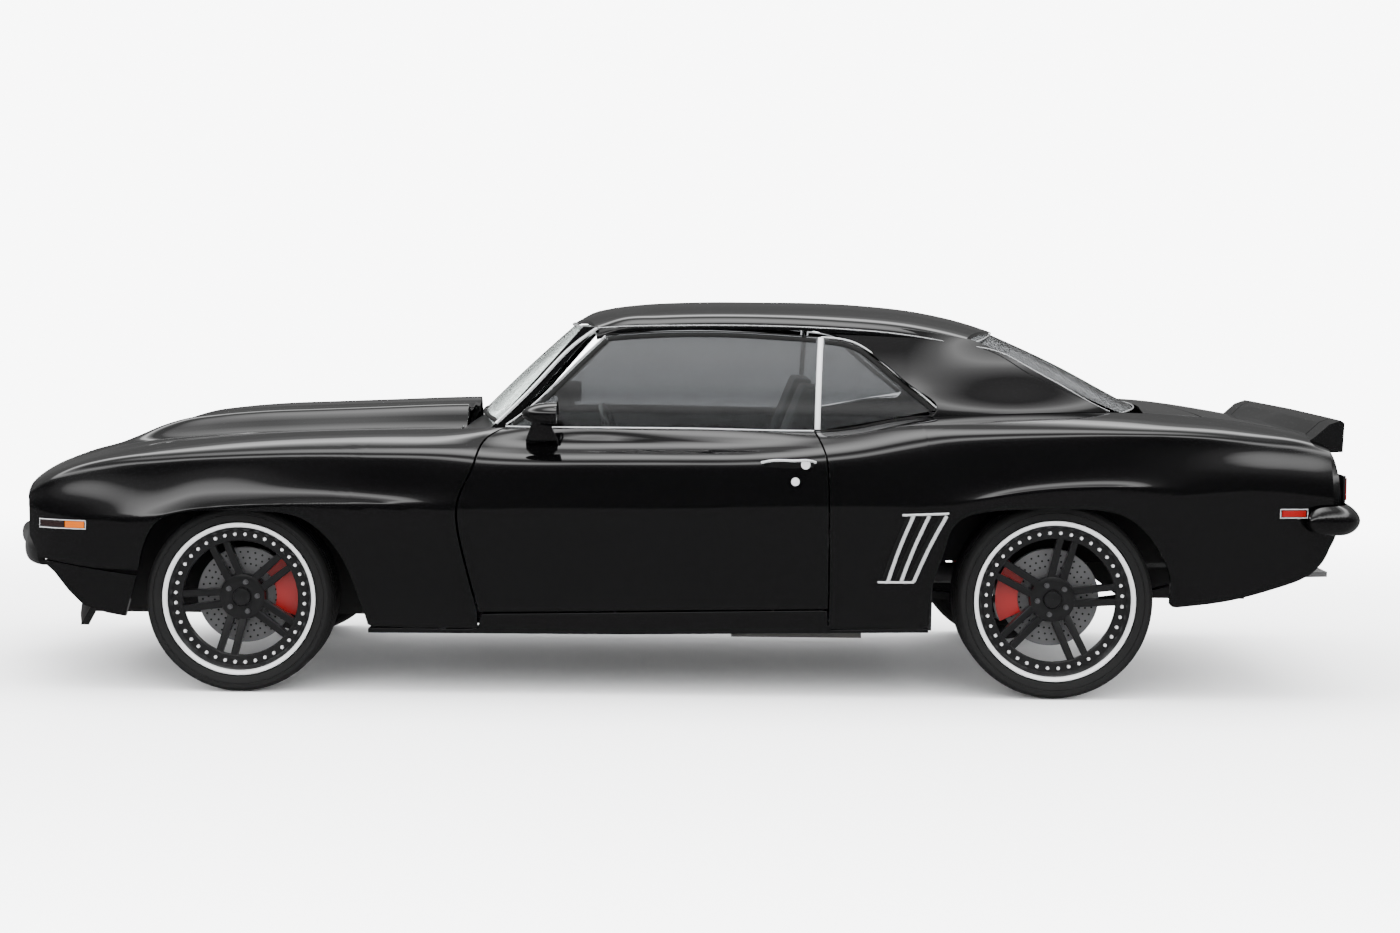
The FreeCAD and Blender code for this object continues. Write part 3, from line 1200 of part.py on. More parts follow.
def floor_pan():
    """Floor with its tunnel, firewall, door pillars and the step over the rear axle."""
    z = size("floor_z")
    wall = size("floor_wall")
    wide = size("floor_half_width")
    section = [(-wide, z), (-168, z), (-140, TUNNEL_TOP), (140, TUNNEL_TOP), (168, z), (wide, z),
               (wide, z + wall), (186, z + wall), (158, TUNNEL_TOP + wall), (-158, TUNNEL_TOP + wall),
               (-186, z + wall), (-wide, z + wall)]
    floor = end_prism(polygon(section), 755, -800)
    tunnel = tunnel_space(0)
    firewall = block((735, 755), (-905, 905), (z, 840)).cut(tunnel)
    pillar = block((640, 735), (690, 770), (z + wall, 846))
    jamb = block((-590, -568), (700, 905), (250, 872))
    side_trim = block((-889, -590), (700, 716), (z, 872))
    riser = block((-820, -800), (-700, 700), (z, 600)).cut(tunnel)
    over_axle = block((-1640, -820), (-570, 570), (582, 600))
    drop = block((-1640, -1622), (-570, 570), (size("trunk_floor_z") + wall, 582))
    half = fused(pillar, jamb, side_trim)
    whole = one_solid(clear_of_skins(fused(floor, firewall, riser, over_axle, drop, half, mirrored(half))))
    hinges = [door_hinge(size("lower_hinge_z")), door_hinge(size("upper_hinge_z")),
              hinge_cheeks(HOOD_PIVOT, [(706, 905), (736, 842), (736, 820), (755, 820), (726, 905)], size("hood_hinge_y"))]
    pads = [block((x - 40, x + 40), (700, 780), (size("jack_pad_z"), z + 5)) for x in JACK_X]
    left = hinges + pads
    return fused(whole, *left, *[mirrored(piece) for piece in left])


def door_hinge(height):
    """A fixed arm from the door pillar to the pin that the door turns on."""
    pin_x = along(size("door_hinge_x"))
    pin_y = size("door_hinge_y")
    half = size("hinge_arm_height") / 2
    slot = half + size("hinge_slot_gap")
    pin = Part.makeCylinder(size("hinge_pin_radius"), 2 * (slot + 20), Vec(pin_x, pin_y, height - slot - 20))
    boss = Part.makeCylinder(size("hinge_boss_radius"), 2 * half, Vec(pin_x, pin_y, height - half))
    start_x = along(645)
    points = [Vec(pin_x - 10, pin_y, height - half), Vec(start_x, out(768), height - half),
              Vec(start_x + 30, out(768), height - half), Vec(pin_x + 12, pin_y, height - half)]
    arm = Part.Face(Part.makePolygon(points + points[:1])).extrude(Vec(0, 0, 2 * half))
    return fused(pin, boss, arm)


def parcel_shelf():
    """The shelf below the rear window, between the wheelhouses."""
    return block((-1640, -1020), (-600, 600), (SHELF_Z, SHELF_Z + 12))


def inner_fender():
    """A flange on the rail, the bay's side wall and the shelf above the front wheel."""
    low = size("rail_z") + size("rail_height") + size("seat_gap")
    span = (760, 2038)
    wall = fused(block(span, (350, 478), (low, low + 8)), block(span, (470, 478), (low, 648)),
                 block(span, (470, 905), (640, 648)))
    axle_x = size("front_axle_x")
    arm_slot = block((axle_x - 118, axle_x + 118), (460, 490), (430, 476))
    tower_slot = block((axle_x - 62, axle_x + 62), (340, 422), (low - 2, low + 12))
    return one_solid(wall.cut([arm_slot, tower_slot, thin_wall]))


def radiator_support():
    """The upright frame that carries the nose, the lamps and both fenders."""
    plate = block((2040, 2062), (-900, 900), (300, 690))
    plate = plate.cut([block((2000, 2100), (-440, 440), (350, 640))])
    return one_solid(plate.cut([thin_wall, mirrored(thin_wall), once(front_valance)]))


# Cabin

def dashboard():
    """Dash pad with the column that holds the steering wheel."""
    back = 735 - size("seat_gap")
    outline = [[(back, 640), (back, 838)], [(back, 838), (600, 858), (500, 852), (440, 815)],
               [(440, 815), (458, 700), (520, 640)]]
    pad = side_prism(outline, -684, 684)
    axis = steering_axis()
    centre = Vec(size("steering_x"), size("steering_y"), size("steering_z"))
    column = Part.makeCylinder(24, 330, centre + axis * (STEERING_BOSS + size("seat_gap")), axis)
    return fused(pad, column)


STEERING_BOSS = 59


def steering_axis():
    """Unit vector from the wheel down the column, towards the front."""
    angle = math.radians(size("steering_tilt"))
    return Vec(math.cos(angle), 0, -math.sin(angle))


def steering_wheel():
    """Rim, three spokes and hub, about its own axis."""
    radius = size("steering_radius")
    ring = Part.makeTorus(radius, size("steering_rim"))
    spokes = [Part.makeBox(radius, 34, 8, Vec(0, -17, -4)).rotate(Vec(), Vec(0, 0, 1), angle)
              for angle in (90, 0, 180)]
    boss = Part.makeCone(44, 24, STEERING_BOSS + 2, Vec(0, 0, -2))
    return fused(ring, boss, *spokes)


def front_seat():
    """Cushion and back of one bucket seat, as one simple solid."""
    foot = 250.5
    outline = [[(170, foot), (190, 470)], [(190, 470), (120, 500), (-260, 470)],
               [(-260, 470), (-420, 960), (-470, 1050)], [(-470, 1050), (-545, 1040)],
               [(-545, 1040), (-520, 900), (-400, 420), (-370, foot)]]
    return side_prism(outline, size("seat_y") - size("seat_width") / 2, size("seat_y") + size("seat_width") / 2)


def rear_seat():
    """Bench in front of the axle, shaped to the step in the floor."""
    outline = [(-560, 470), (-560, 290), (-799.7, 290), (-799.7, 600.3), (-1015, 600.3), (-1100, 870), (-1015, 878),
               (-864, 655), (-780, 612), (-766, 500)]
    space = tunnel_space(size("floor_wall") + 6)
    return one_solid(side_prism(polygon(outline), -550, 550).cut(space))


def exhaust():
    """Two pipes with mufflers, down both sides of the tunnel to the tail."""
    radius = size("exhaust_radius")
    y = size("exhaust_y")
    z = size("floor_z") - radius - size("seat_gap")
    pipe = Part.makeCylinder(radius, along(900) - along(-760), Vec(along(-760), y, z), Vec(1, 0, 0))
    muffler = Part.makeBox(460, 230, 90, Vec(along(-700), y - 115, z + radius - 90))
    return fused(pipe, muffler)


def fuel_tank():
    return primitive("Box", "fuel_tank", Length="440", Width="760", Height="130", x="rear_axle_x - 740",
                     y="-380", z="trunk_floor_z - seat_gap - 130")


add_pair("fender", fender())
add_pair("door", once(door))
add_pair("quarter_panel", once(quarter))
add_pair("sail_panel", once(sail_panel))
add_both_sides("spoiler_ends", once(spoiler_end))
add_both_sides("rocker_panels", once(rocker))
add_part("hood", hood())
add_part("nose_panel", nose_panel())
add_part("grille", grille())
add_both_sides("headlamps", headlamp())
add_part("front_bumper", front_bumper())
add_part("front_valance", once(front_valance))
add_part("chin_spoiler", chin_spoiler())
add_part("cowl_panel", cowl())
add_part("roof", once(roof))
add_part("windshield", windshield())
add_part("rear_window", rear_window())
add_pair("door_glass", door_glass())
add_both_sides("quarter_glass", quarter_glass())
add_part("deck_panel", deck_panel())
add_part("trunk_lid", once(trunk_lid))
add_part("rear_spoiler", one_solid(spoiler(-632, 632, 24, 24).cut(once(trunk_lid))))
add_part("tail_panel", once(tail_panel))
add_both_sides("tail_lamps", tail_lamp())
add_part("rear_bumper", rear_bumper())
add_pair("door_mirror", mirror_head())

keep_node(tyre("front"), "tyre_front_left")
keep_mirrored(nodes[-1], "tyre_front_right")
keep_node(tyre("rear"), "tyre_rear_left")
keep_mirrored(nodes[-1], "tyre_rear_right")
keep_node(wheel("front"), "rim_front_left")
keep_mirrored(nodes[-1], "rim_front_right")
keep_node(wheel("rear"), "rim_rear_left")
keep_mirrored(nodes[-1], "rim_rear_right")
add_pair("knuckle", knuckle())
keep_node(engine(), "powertrain")
keep_node(rear_axle(), "rear_axle")
add_both_sides("rear_calipers", rear_caliper())
add_part("front_subframe", front_subframe())
add_both_sides("leaf_springs", leaf_spring())
add_part("floor_pan", floor_pan())
add_part("trunk_floor", trunk_floor())
add_both_sides("wheelhouses", wheelhouse())
add_both_sides("inner_fenders", inner_fender())
add_part("parcel_shelf", parcel_shelf())
add_part("radiator_support", once(radiator_support))
add_part("dashboard", dashboard())
wheel_centre = Vec(size("steering_x"), size("steering_y"), size("steering_z"))
add_part("steering_wheel", steering_wheel(),
         FreeCAD.Placement(wheel_centre, FreeCAD.Rotation(Vec(0, 0, 1), steering_axis())))
add_both_sides("front_seats", front_seat())
add_part("rear_seat", rear_seat())
add_both_sides("exhaust", exhaust())
keep_node(fuel_tank(), "fuel_tank")

doc.recompute()
os.makedirs("parts", exist_ok=True)
for node in nodes:
    if "Invalid" in node.State or "Error" in node.State:
        raise RuntimeError(node.Label + " failed: " + str(node.State))
    if node.Shape.isNull() or not node.Shape.isValid():
        raise RuntimeError(node.Label + " has no valid shape")
    node.Shape.exportStep("parts/%s.step" % node.Label)
print(len(nodes), "sub-parts written")
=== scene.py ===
# A gloss-black two-door muscle car on satin black wheels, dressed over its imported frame.
# Drawn numbers are millimetres in the frame's own axes: X forward, Y to the car's left, Z up.
import math

import bmesh
import bpy
import numpy as np
from mathutils import Matrix, Vector


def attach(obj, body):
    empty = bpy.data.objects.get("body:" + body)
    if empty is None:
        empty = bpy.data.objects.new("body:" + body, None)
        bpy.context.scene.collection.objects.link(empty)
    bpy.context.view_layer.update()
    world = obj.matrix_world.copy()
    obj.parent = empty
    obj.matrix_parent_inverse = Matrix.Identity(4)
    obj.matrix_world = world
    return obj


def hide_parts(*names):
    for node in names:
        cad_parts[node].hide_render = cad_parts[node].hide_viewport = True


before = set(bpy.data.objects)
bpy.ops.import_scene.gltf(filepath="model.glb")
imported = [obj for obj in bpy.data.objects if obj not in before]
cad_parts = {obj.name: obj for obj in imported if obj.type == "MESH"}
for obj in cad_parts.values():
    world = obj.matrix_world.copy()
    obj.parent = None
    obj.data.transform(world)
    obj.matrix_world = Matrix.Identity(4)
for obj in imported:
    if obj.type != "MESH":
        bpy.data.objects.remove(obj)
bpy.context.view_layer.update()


MM = 0.001
FRONT_AXLE = Vector((1422, 0, 315))
REAR_AXLE = Vector((-1321, 0, 333))
AXLES = {"front": FRONT_AXLE, "rear": REAR_AXLE}
SIDES = {"left": 1, "right": -1}

# The photograph's viewpoint, from the left and a little above the belt. Turns are in radians.
CAMERA_PLACE = (-90.6, 9650, 1394.7)
CAMERA_LENS = 67.562
CAMERA_YAW = -0.0036
CAMERA_PITCH = 0.07029
CAMERA_ROLL = 0.01033

ROOM_WHITE = (0.99, 0.995, 1, 1)
ROOM_LIGHT = 4.4
SEEN_WALL = 8.5
FAR_WALL = 0.11
DARK_FLOOR = 0.14
# What gloss paint mirrors of the room, as (sine of the height above the horizon, strength).
MIRRORED_ROOM = [(0.0, 0.03), (0.25, 0.04), (0.44, 0.12), (0.57, 0.4), (0.62, 2.2), (0.7, 3.6), (0.76, 1.6),
                 (0.84, 0.35), (0.91, 0.5), (0.96, 2.4), (1.0, 4.4)]
BRIGHTEST = 4.4


# Camera, floor and light

def add_object(name, data):
    item = bpy.data.objects.new(name, data)
    bpy.context.scene.collection.objects.link(item)
    return item


def add_camera():
    camera = bpy.data.cameras.new("camera")
    camera.sensor_width = 36
    camera.lens = CAMERA_LENS
    camera.clip_end = 200
    item = add_object("camera", camera)
    across = Vector((-1, 0, 0))
    upward = Vector((0, 0, 1))
    level = math.cos(CAMERA_YAW) * Vector((0, -1, 0)) - math.sin(CAMERA_YAW) * across
    side = level.cross(upward).normalized()
    forward = math.cos(CAMERA_PITCH) * level - math.sin(CAMERA_PITCH) * upward
    top = side.cross(forward)
    right = math.cos(CAMERA_ROLL) * side + math.sin(CAMERA_ROLL) * top
    turn = Matrix((right, right.cross(forward), -forward)).transposed()
    item.matrix_world = Matrix.Translation(Vector(CAMERA_PLACE) * MM) @ turn.to_4x4()
    bpy.context.scene.camera = item


def add_light(name, spot, aim, energy, width, height):
    """A soft box that lights the car but isn't mirrored in it."""
    light = bpy.data.lights.new(name, "AREA")
    light.shape = "RECTANGLE"
    light.size = width
    light.size_y = height
    light.energy = energy
    item = add_object(name, light)
    item.location = spot
    item.rotation_euler = (Vector(aim) - Vector(spot)).to_track_quat("-Z", "Y").to_euler()
    item.visible_glossy = False


def give(tree, item, inputs):
    """Gives a node's inputs their links or plain values."""
    for socket, value in inputs.items():
        if isinstance(value, bpy.types.NodeSocket):
            tree.links.new(value, item.inputs[socket])
        else:
            item.inputs[socket].default_value = value
    return item


def add_node(tree, kind, inputs=None, **settings):
    item = tree.nodes.new(kind)
    for key, value in settings.items():
        setattr(item, key, value)
    return give(tree, item, inputs or {})


def maths(tree, operation, *values):
    """The result of one sum on sockets or numbers."""
    return add_node(tree, "ShaderNodeMath", dict(enumerate(values)), operation=operation).outputs[0]


def mirrored_share(tree):
    """One for a ray that left a surface as a reflection, and nothing for any other."""
    path = add_node(tree, "ShaderNodeLightPath")
    clear = maths(tree, "SUBTRACT", 1, path.outputs["Is Transmission Ray"])
    return maths(tree, "MULTIPLY", path.outputs["Is Glossy Ray"], clear)


def mixed(tree, share, first, second):
    """A shader that is the first one where the share is nothing, and the second where it is one."""
    return add_node(tree, "ShaderNodeMixShader", {0: share, 1: first, 2: second}).outputs["Shader"]


def add_world():
    """A white studio. Gloss paint mirrors dark walls in it that brighten towards the light overhead."""
    world = bpy.data.worlds.new("studio")
    world.use_nodes = True
    tree = world.node_tree
    room = give(tree, tree.nodes["Background"], {"Color": ROOM_WHITE, "Strength": ROOM_LIGHT})
    seen = add_node(tree, "ShaderNodeBackground", {"Color": ROOM_WHITE, "Strength": SEEN_WALL})
    direction = add_node(tree, "ShaderNodeTexCoord").outputs["Generated"]
    split = add_node(tree, "ShaderNodeSeparateXYZ", {"Vector": direction})
    height = add_node(tree, "ShaderNodeValToRGB", {"Fac": split.outputs["Z"]})
    stops = height.color_ramp.elements
    while len(stops) < len(MIRRORED_ROOM):
        stops.new(0.5)
    for stop, (place_up, strength) in zip(stops, MIRRORED_ROOM):
        stop.position = place_up
        stop.color = (*[strength / BRIGHTEST] * 3, 1)
    above = maths(tree, "MULTIPLY", height.outputs["Color"], BRIGHTEST)
    far = add_node(tree, "ShaderNodeMapRange",
                   {"Value": split.outputs["Y"], "From Min": 0.25, "From Max": -0.55, "To Min": 0,
                    "To Max": FAR_WALL}, interpolation_type="SMOOTHSTEP")
    glow = maths(tree, "ADD", above, far.outputs["Result"])
    mirrored = add_node(tree, "ShaderNodeBackground", {"Strength": glow})
    camera_ray = add_node(tree, "ShaderNodeLightPath").outputs["Is Camera Ray"]
    plain = mixed(tree, camera_ray, room.outputs["Background"], seen.outputs["Background"])
    result = mixed(tree, mirrored_share(tree), plain, mirrored.outputs["Background"])
    give(tree, tree.nodes["World Output"], {"Surface": result})
    bpy.context.scene.world = world


def add_studio():
    """A pale floor, a white room, a broad soft box overhead and two soft fills."""
    add_world()
    add_light("overhead", (0.0, 0.2, 4.8), (0, 0.2, 0), 620, 8.5, 5.0)
    add_light("near_fill", (0.0, 8.0, 4.0), (0, 0, 0.5), 260, 9.0, 3.0)
    add_light("far_fill", (0.0, -8.0, 4.0), (0, 0, 0.5), 260, 9.0, 3.0)
    build = bmesh.new()
    bmesh.ops.create_grid(build, x_segments=2, y_segments=2, size=60)
    finish_mesh("floor", build, studio_floor())


# Materials

def open_group(name, inputs, outputs):
    """A node group with named inputs and outputs, and the object's coordinates in metres."""
    tree = bpy.data.node_groups.new(name, "ShaderNodeTree")
    for label, value in inputs.items():
        kind = "NodeSocketColor" if isinstance(value, tuple) else "NodeSocketFloat"
        tree.interface.new_socket(label, in_out="INPUT", socket_type=kind).default_value = value
    for label, kind in outputs.items():
        tree.interface.new_socket(label, in_out="OUTPUT", socket_type=kind)
    given = tree.nodes.new("NodeGroupInput").outputs
    coordinates = add_node(tree, "ShaderNodeTexCoord").outputs["Object"]
    return tree, given, tree.nodes.new("NodeGroupOutput"), coordinates


def film_group():
    """A faint cloudy film that is stronger near the ground: it lifts the colour and the roughness."""
    tree, given, result, coordinates = open_group(
        "road_film",
        {"Colour": (0, 0, 0, 1), "Film": (0.2, 0.19, 0.18, 1), "Amount": 0.05, "Roughness": 0.1,
         "Reach": 0.35},
        {"Colour": "NodeSocketColor", "Roughness": "NodeSocketFloat"})
    split = add_node(tree, "ShaderNodeSeparateXYZ", {"Vector": coordinates})
    height = add_node(tree, "ShaderNodeMapRange",
                      {"Value": split.outputs["Z"], "From Max": given["Reach"], "To Min": 1, "To Max": 0})
    cloud = add_node(tree, "ShaderNodeTexNoise", {"Vector": coordinates, "Scale": 9, "Detail": 6})
    mask = maths(tree, "MULTIPLY", height.outputs["Result"], cloud.outputs["Fac"])
    share = maths(tree, "MULTIPLY", mask, given["Amount"])
    blend = add_node(tree, "ShaderNodeMix", {"Factor": share, "A": given["Colour"], "B": given["Film"]},
                     data_type="RGBA")
    rough = maths(tree, "ADD", share, given["Roughness"])
    give(tree, result, {"Colour": blend.outputs["Result"], "Roughness": rough})
    return tree


def grain_group():
    """A moulded or leather grain from cells and fine noise, given as a bumped normal."""
    tree, given, result, coordinates = open_group(
        "grain", {"Scale": 400.0, "Depth": 0.3, "Height": 0.0004},
        {"Normal": "NodeSocketVector", "Mask": "NodeSocketFloat"})
    pattern = {"Vector": coordinates, "Scale": given["Scale"]}
    cells = add_node(tree, "ShaderNodeTexVoronoi", pattern)
    noise = add_node(tree, "ShaderNodeTexNoise", {**pattern, "Detail": 4})
    both = maths(tree, "ADD", cells.outputs["Distance"], noise.outputs["Fac"])
    bump = add_node(tree, "ShaderNodeBump",
                    {"Strength": given["Depth"], "Distance": given["Height"], "Height": both})
    give(tree, result, {"Normal": bump.outputs["Normal"], "Mask": both})
    return tree


def polish_group():
    """Cloudy changes of roughness, as polish and handling leave them."""
    tree, given, result, coordinates = open_group(
        "polish", {"Roughness": 0.1, "Spread": 0.05, "Scale": 6.0}, {"Roughness": "NodeSocketFloat"})
    noise = add_node(tree, "ShaderNodeTexNoise",
                     {"Vector": coordinates, "Scale": given["Scale"], "Detail": 5})
    rough = maths(tree, "MULTIPLY_ADD", noise.outputs["Fac"], given["Spread"], given["Roughness"])
    give(tree, result, {"Roughness": rough})
    return tree


ROAD_FILM = film_group()
GRAIN = grain_group()
POLISH = polish_group()


class Recipe:
    """A node material with a Principled shader and short calls to add its nodes."""

    def __init__(self, name, colour, roughness, metallic=0.0):
        self.material = bpy.data.materials.new(name)
        self.material.use_nodes = True
        self.tree = self.material.node_tree
        self.shader = self.tree.nodes["Principled BSDF"]
        self.set({"Base Color": (*colour, 1), "Roughness": roughness, "Metallic": metallic})

    def set(self, inputs):
        give(self.tree, self.shader, inputs)

    def node(self, kind, inputs=None, **settings):
        return add_node(self.tree, kind, inputs, **settings)

    def spot(self, scale=(1, 1, 1), centre=(0, 0, 0)):
        """Object coordinates in metres, scaled and centred."""
        coordinates = self.node("ShaderNodeTexCoord").outputs["Object"]
        moved = [-c * s for c, s in zip(centre, scale)]
        mapping = self.node("ShaderNodeMapping", {"Vector": coordinates, "Scale": scale, "Location": moved})
        return mapping.outputs["Vector"]

    def noise(self, **values):
        inputs = {label.capitalize(): value for label, value in values.items()}
        return self.node("ShaderNodeTexNoise", {"Vector": self.spot(), **inputs}).outputs["Fac"]

    def group(self, group, inputs):
        item = self.node("ShaderNodeGroup", node_tree=group)
        give(self.tree, item, inputs)
        return item.outputs

    def bump(self, height, strength, distance):
        bump = self.node("ShaderNodeBump", {"Height": height, "Strength": strength, "Distance": distance})
        self.set({"Normal": bump.outputs["Normal"]})

    def grain(self, scale, depth):
        self.set({"Normal": self.group(GRAIN, {"Scale": scale, "Depth": depth})["Normal"]})

    def polish(self, roughness, spread, scale):
        worn = self.group(POLISH, {"Roughness": roughness, "Spread": spread, "Scale": scale})
        self.set({"Roughness": worn["Roughness"]})

    def film(self, colour, amount, roughness, reach=0.35):
        dirt = self.group(ROAD_FILM, {"Colour": (*colour, 1), "Amount": amount, "Roughness": roughness,
                                      "Reach": reach})
        self.set({"Base Color": dirt["Colour"], "Roughness": dirt["Roughness"]})


def painted(name, colour, roughness, film, coat=0.0, coat_roughness=0.03, peel=0.0):
    """Sprayed paint with a road film low down, and a clear coat with a slight orange peel."""
    recipe = Recipe(name, colour, roughness)
    recipe.film(colour, film, roughness)
    recipe.set({"Coat Weight": coat, "Coat Roughness": coat_roughness})
    if peel:
        recipe.bump(recipe.noise(scale=260), peel, 0.0002)
    return recipe.material


def metal(name, colour, roughness, spread, scale=7.0, share=1.0):
    """Bright metal. A share below one keeps some of the soft white that a real studio leaves in it."""
    recipe = Recipe(name, colour, roughness, share)
    recipe.polish(roughness, spread, scale)
    return recipe.material


def grained(name, colour, roughness, scale, depth):
    """Moulded plastic, rubber or leather: a grain, and a colour that varies with it."""
    recipe = Recipe(name, colour, roughness)
    recipe.grain(scale, depth)
    ramp = recipe.node("ShaderNodeValToRGB", {"Fac": recipe.noise(scale=5, detail=5)})
    for stop, share in zip(ramp.color_ramp.elements, (0.65, 1.35)):
        stop.color = (*[c * share for c in colour], 1)
    recipe.set({"Base Color": ramp.outputs["Color"]})
    recipe.polish(roughness - 0.05, 0.12, 14)
    return recipe.material


def pane(name, colour):
    """Clear or tinted glass with faint wiping marks."""
    recipe = Recipe(name, colour, 0.02)
    recipe.set({"Transmission Weight": 1.0, "IOR": 1.45})
    recipe.polish(0.0, 0.03, 3)
    return recipe.material


def lens(name, colour):
    """Coloured plastic with fine upright ribs."""
    recipe = Recipe(name, colour, 0.12)
    recipe.set({"Coat Weight": 1.0})
    ribs = recipe.node("ShaderNodeTexWave", {"Scale": 90, "Vector": recipe.spot()}, wave_type="BANDS",
                       bands_direction="DIAGONAL")
    recipe.bump(ribs.outputs["Fac"], 0.4, 0.001)
    return recipe.material


def brushed_disc(end):
    """A brake disc's face, turned in fine rings about its axle."""
    recipe = Recipe("disc_steel_" + end, (0.22, 0.22, 0.225), 0.32, 0.7)
    rings = recipe.node("ShaderNodeTexWave",
                        {"Scale": 140, "Distortion": 0.6, "Vector": recipe.spot(centre=AXLES[end] * MM)},
                        wave_type="RINGS", rings_direction="Y")
    recipe.bump(rings.outputs["Fac"], 0.25, 0.0005)
    return recipe.material


def tyre_rubber():
    """Dusty rubber with a fine moulded grain."""
    colour = (0.0028, 0.0028, 0.003)
    recipe = Recipe("tyre_rubber", colour, 0.72)
    recipe.grain(900, 0.25)
    recipe.film(colour, 0.012, 0.66, 0.9)
    return recipe.material


def carpet_pile():
    recipe = Recipe("carpet_pile", (0.008, 0.008, 0.0084), 0.95)
    recipe.set({"Sheen Weight": 0.4})
    recipe.bump(recipe.noise(scale=700), 0.8, 0.003)
    return recipe.material


def studio_floor():
    """A pale matt floor that fades into the white wall, and that gloss paint mirrors as a dark one."""
    recipe = Recipe("studio_floor", (0.92, 0.92, 0.925), 0.9)
    recipe.set({"Specular IOR Level": 0.1})
    recipe.polish(0.86, 0.1, 0.6)
    dark = recipe.node("ShaderNodeEmission", {"Strength": DARK_FLOOR})
    glow = recipe.node("ShaderNodeEmission", {"Color": ROOM_WHITE, "Strength": SEEN_WALL})
    reach = recipe.node("ShaderNodeVectorMath", {0: recipe.spot((0.5, 1, 1))}, operation="LENGTH")
    outer = recipe.node("ShaderNodeMapRange",
                        {"Value": reach.outputs["Value"], "From Min": 1.2, "From Max": 6.5},
                        interpolation_type="SMOOTHSTEP")
    camera_ray = recipe.node("ShaderNodeLightPath").outputs["Is Camera Ray"]
    seen = maths(recipe.tree, "MULTIPLY", outer.outputs["Result"], camera_ray)
    plain = mixed(recipe.tree, seen, recipe.shader.outputs["BSDF"], glow.outputs["Emission"])
    result = mixed(recipe.tree, mirrored_share(recipe.tree), plain, dark.outputs["Emission"])
    give(recipe.tree, recipe.tree.nodes["Material Output"], {"Surface": result})
    return recipe.material


BODY_BLACK = painted("body_black", (0.0008, 0.0008, 0.0009), 0.06, 0.006, 1.0, 0.015, 0.015)
SATIN_BLACK = painted("satin_black", (0.004, 0.004, 0.0043), 0.36, 0.02)
WHEEL_BLACK = painted("wheel_black", (0.0035, 0.0035, 0.0038), 0.28, 0.01, 0.5, 0.1)
CHASSIS_BLACK = painted("chassis_black", (0.006, 0.006, 0.0062), 0.5, 0.06)
CALIPER_RED = painted("caliper_red", (0.2, 0.0006, 0.0006), 0.3, 0.01, 0.8, 0.05)
ENGINE_PAINT = painted("engine_paint", (0.02, 0.02, 0.021), 0.4, 0.04, 0.3, 0.1)
CHROME = metal("chrome", (0.8, 0.81, 0.82), 0.1, 0.06, share=0.75)
POLISHED = metal("polished_steel", (0.8, 0.8, 0.81), 0.2, 0.08, share=0.55)
BOLT_STEEL = metal("bolt_steel", (0.12, 0.12, 0.125), 0.3, 0.1, share=0.8)
PIPE_STEEL = metal("pipe_steel", (0.3, 0.29, 0.28), 0.32, 0.2, 20, 0.9)
CAST_IRON = grained("cast_iron", (0.025, 0.0245, 0.024), 0.65, 500, 0.5)
BLACK_PLASTIC = grained("black_plastic", (0.004, 0.004, 0.004), 0.45, 1400, 0.2)
DASH_PLASTIC = grained("dash_plastic", (0.01, 0.01, 0.0105), 0.55, 900, 0.4)
SEAT_LEATHER = grained("seat_leather", (0.012, 0.0115, 0.0115), 0.42, 650, 0.45)
# Flat black that paints shade: in the brake discs' drilled holes, in the door handle's hollow and behind the
# louvre bars.
SHADE_BLACK = grained("painted_shade_black", (0.0008, 0.0008, 0.0008), 0.9, 800, 0.1)
RUBBER_SEAL = grained("rubber_seal", (0.003, 0.003, 0.003), 0.6, 1500, 0.2)
CLEAR_GLASS = pane("clear_glass", (0.86, 0.93, 0.9))
TINTED_GLASS = pane("tinted_glass", (0.17, 0.175, 0.18))
LAMP_GLASS = pane("lamp_glass", (0.95, 0.96, 0.97))
MIRROR_GLASS = metal("mirror_glass", (0.9, 0.91, 0.92), 0.01, 0.01)
RED_LENS = lens("red_lens", (0.13, 0.002, 0.002))
AMBER_LENS = lens("amber_lens", (0.3, 0.06, 0.0))
DARK_LENS = lens("dark_lens", (0.008, 0.004, 0.004))
TYRE_RUBBER = tyre_rubber()
CARPET = carpet_pile()
DISC_STEEL = {end: brushed_disc(end) for end in AXLES}


# Mesh tools

def finish_mesh(name, build, *materials, smooth=40):
    """Makes an object of a bmesh in metres. Edges sharper than the angle stay crisp."""
    limit = math.radians(smooth)
    for face in build.faces:
        face.smooth = True
    for edge in build.edges:
        if len(edge.link_faces) == 2 and edge.calc_face_angle(0) > limit:
            edge.smooth = False
    mesh = bpy.data.meshes.new(name)
    build.to_mesh(mesh)
    build.free()
    for material in materials:
        mesh.materials.append(material)
    return add_object(name, mesh)


def into_metres(build):
    bmesh.ops.scale(build, vec=(MM, MM, MM), verts=build.verts)


def outward(build):
    bmesh.ops.remove_doubles(build, verts=build.verts, dist=0.00001)
    bmesh.ops.recalc_face_normals(build, faces=build.faces)


def round_edges(item, width):
    """A live bevel on the crisp edges, so that they catch the light."""
    bevel = item.modifiers.new("rounded_edges", "BEVEL")
    bevel.width = width * MM
    bevel.segments = 2
    bevel.limit_method = "ANGLE"
    bevel.angle_limit = math.radians(40)
    bevel.harden_normals = False


def place(item, body, slot, *nodes):
    """The piece rides on its body and stands for the nodes that it replaces. Its slot is not used."""
    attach(item, body)
    if nodes:
        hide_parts(*nodes)
    return item


def flipped(build):
    """The mirror image on the car's other side, with its faces turned the right way."""
    bmesh.ops.scale(build, vec=(1, -1, 1), verts=build.verts)
    bmesh.ops.reverse_faces(build, faces=build.faces)


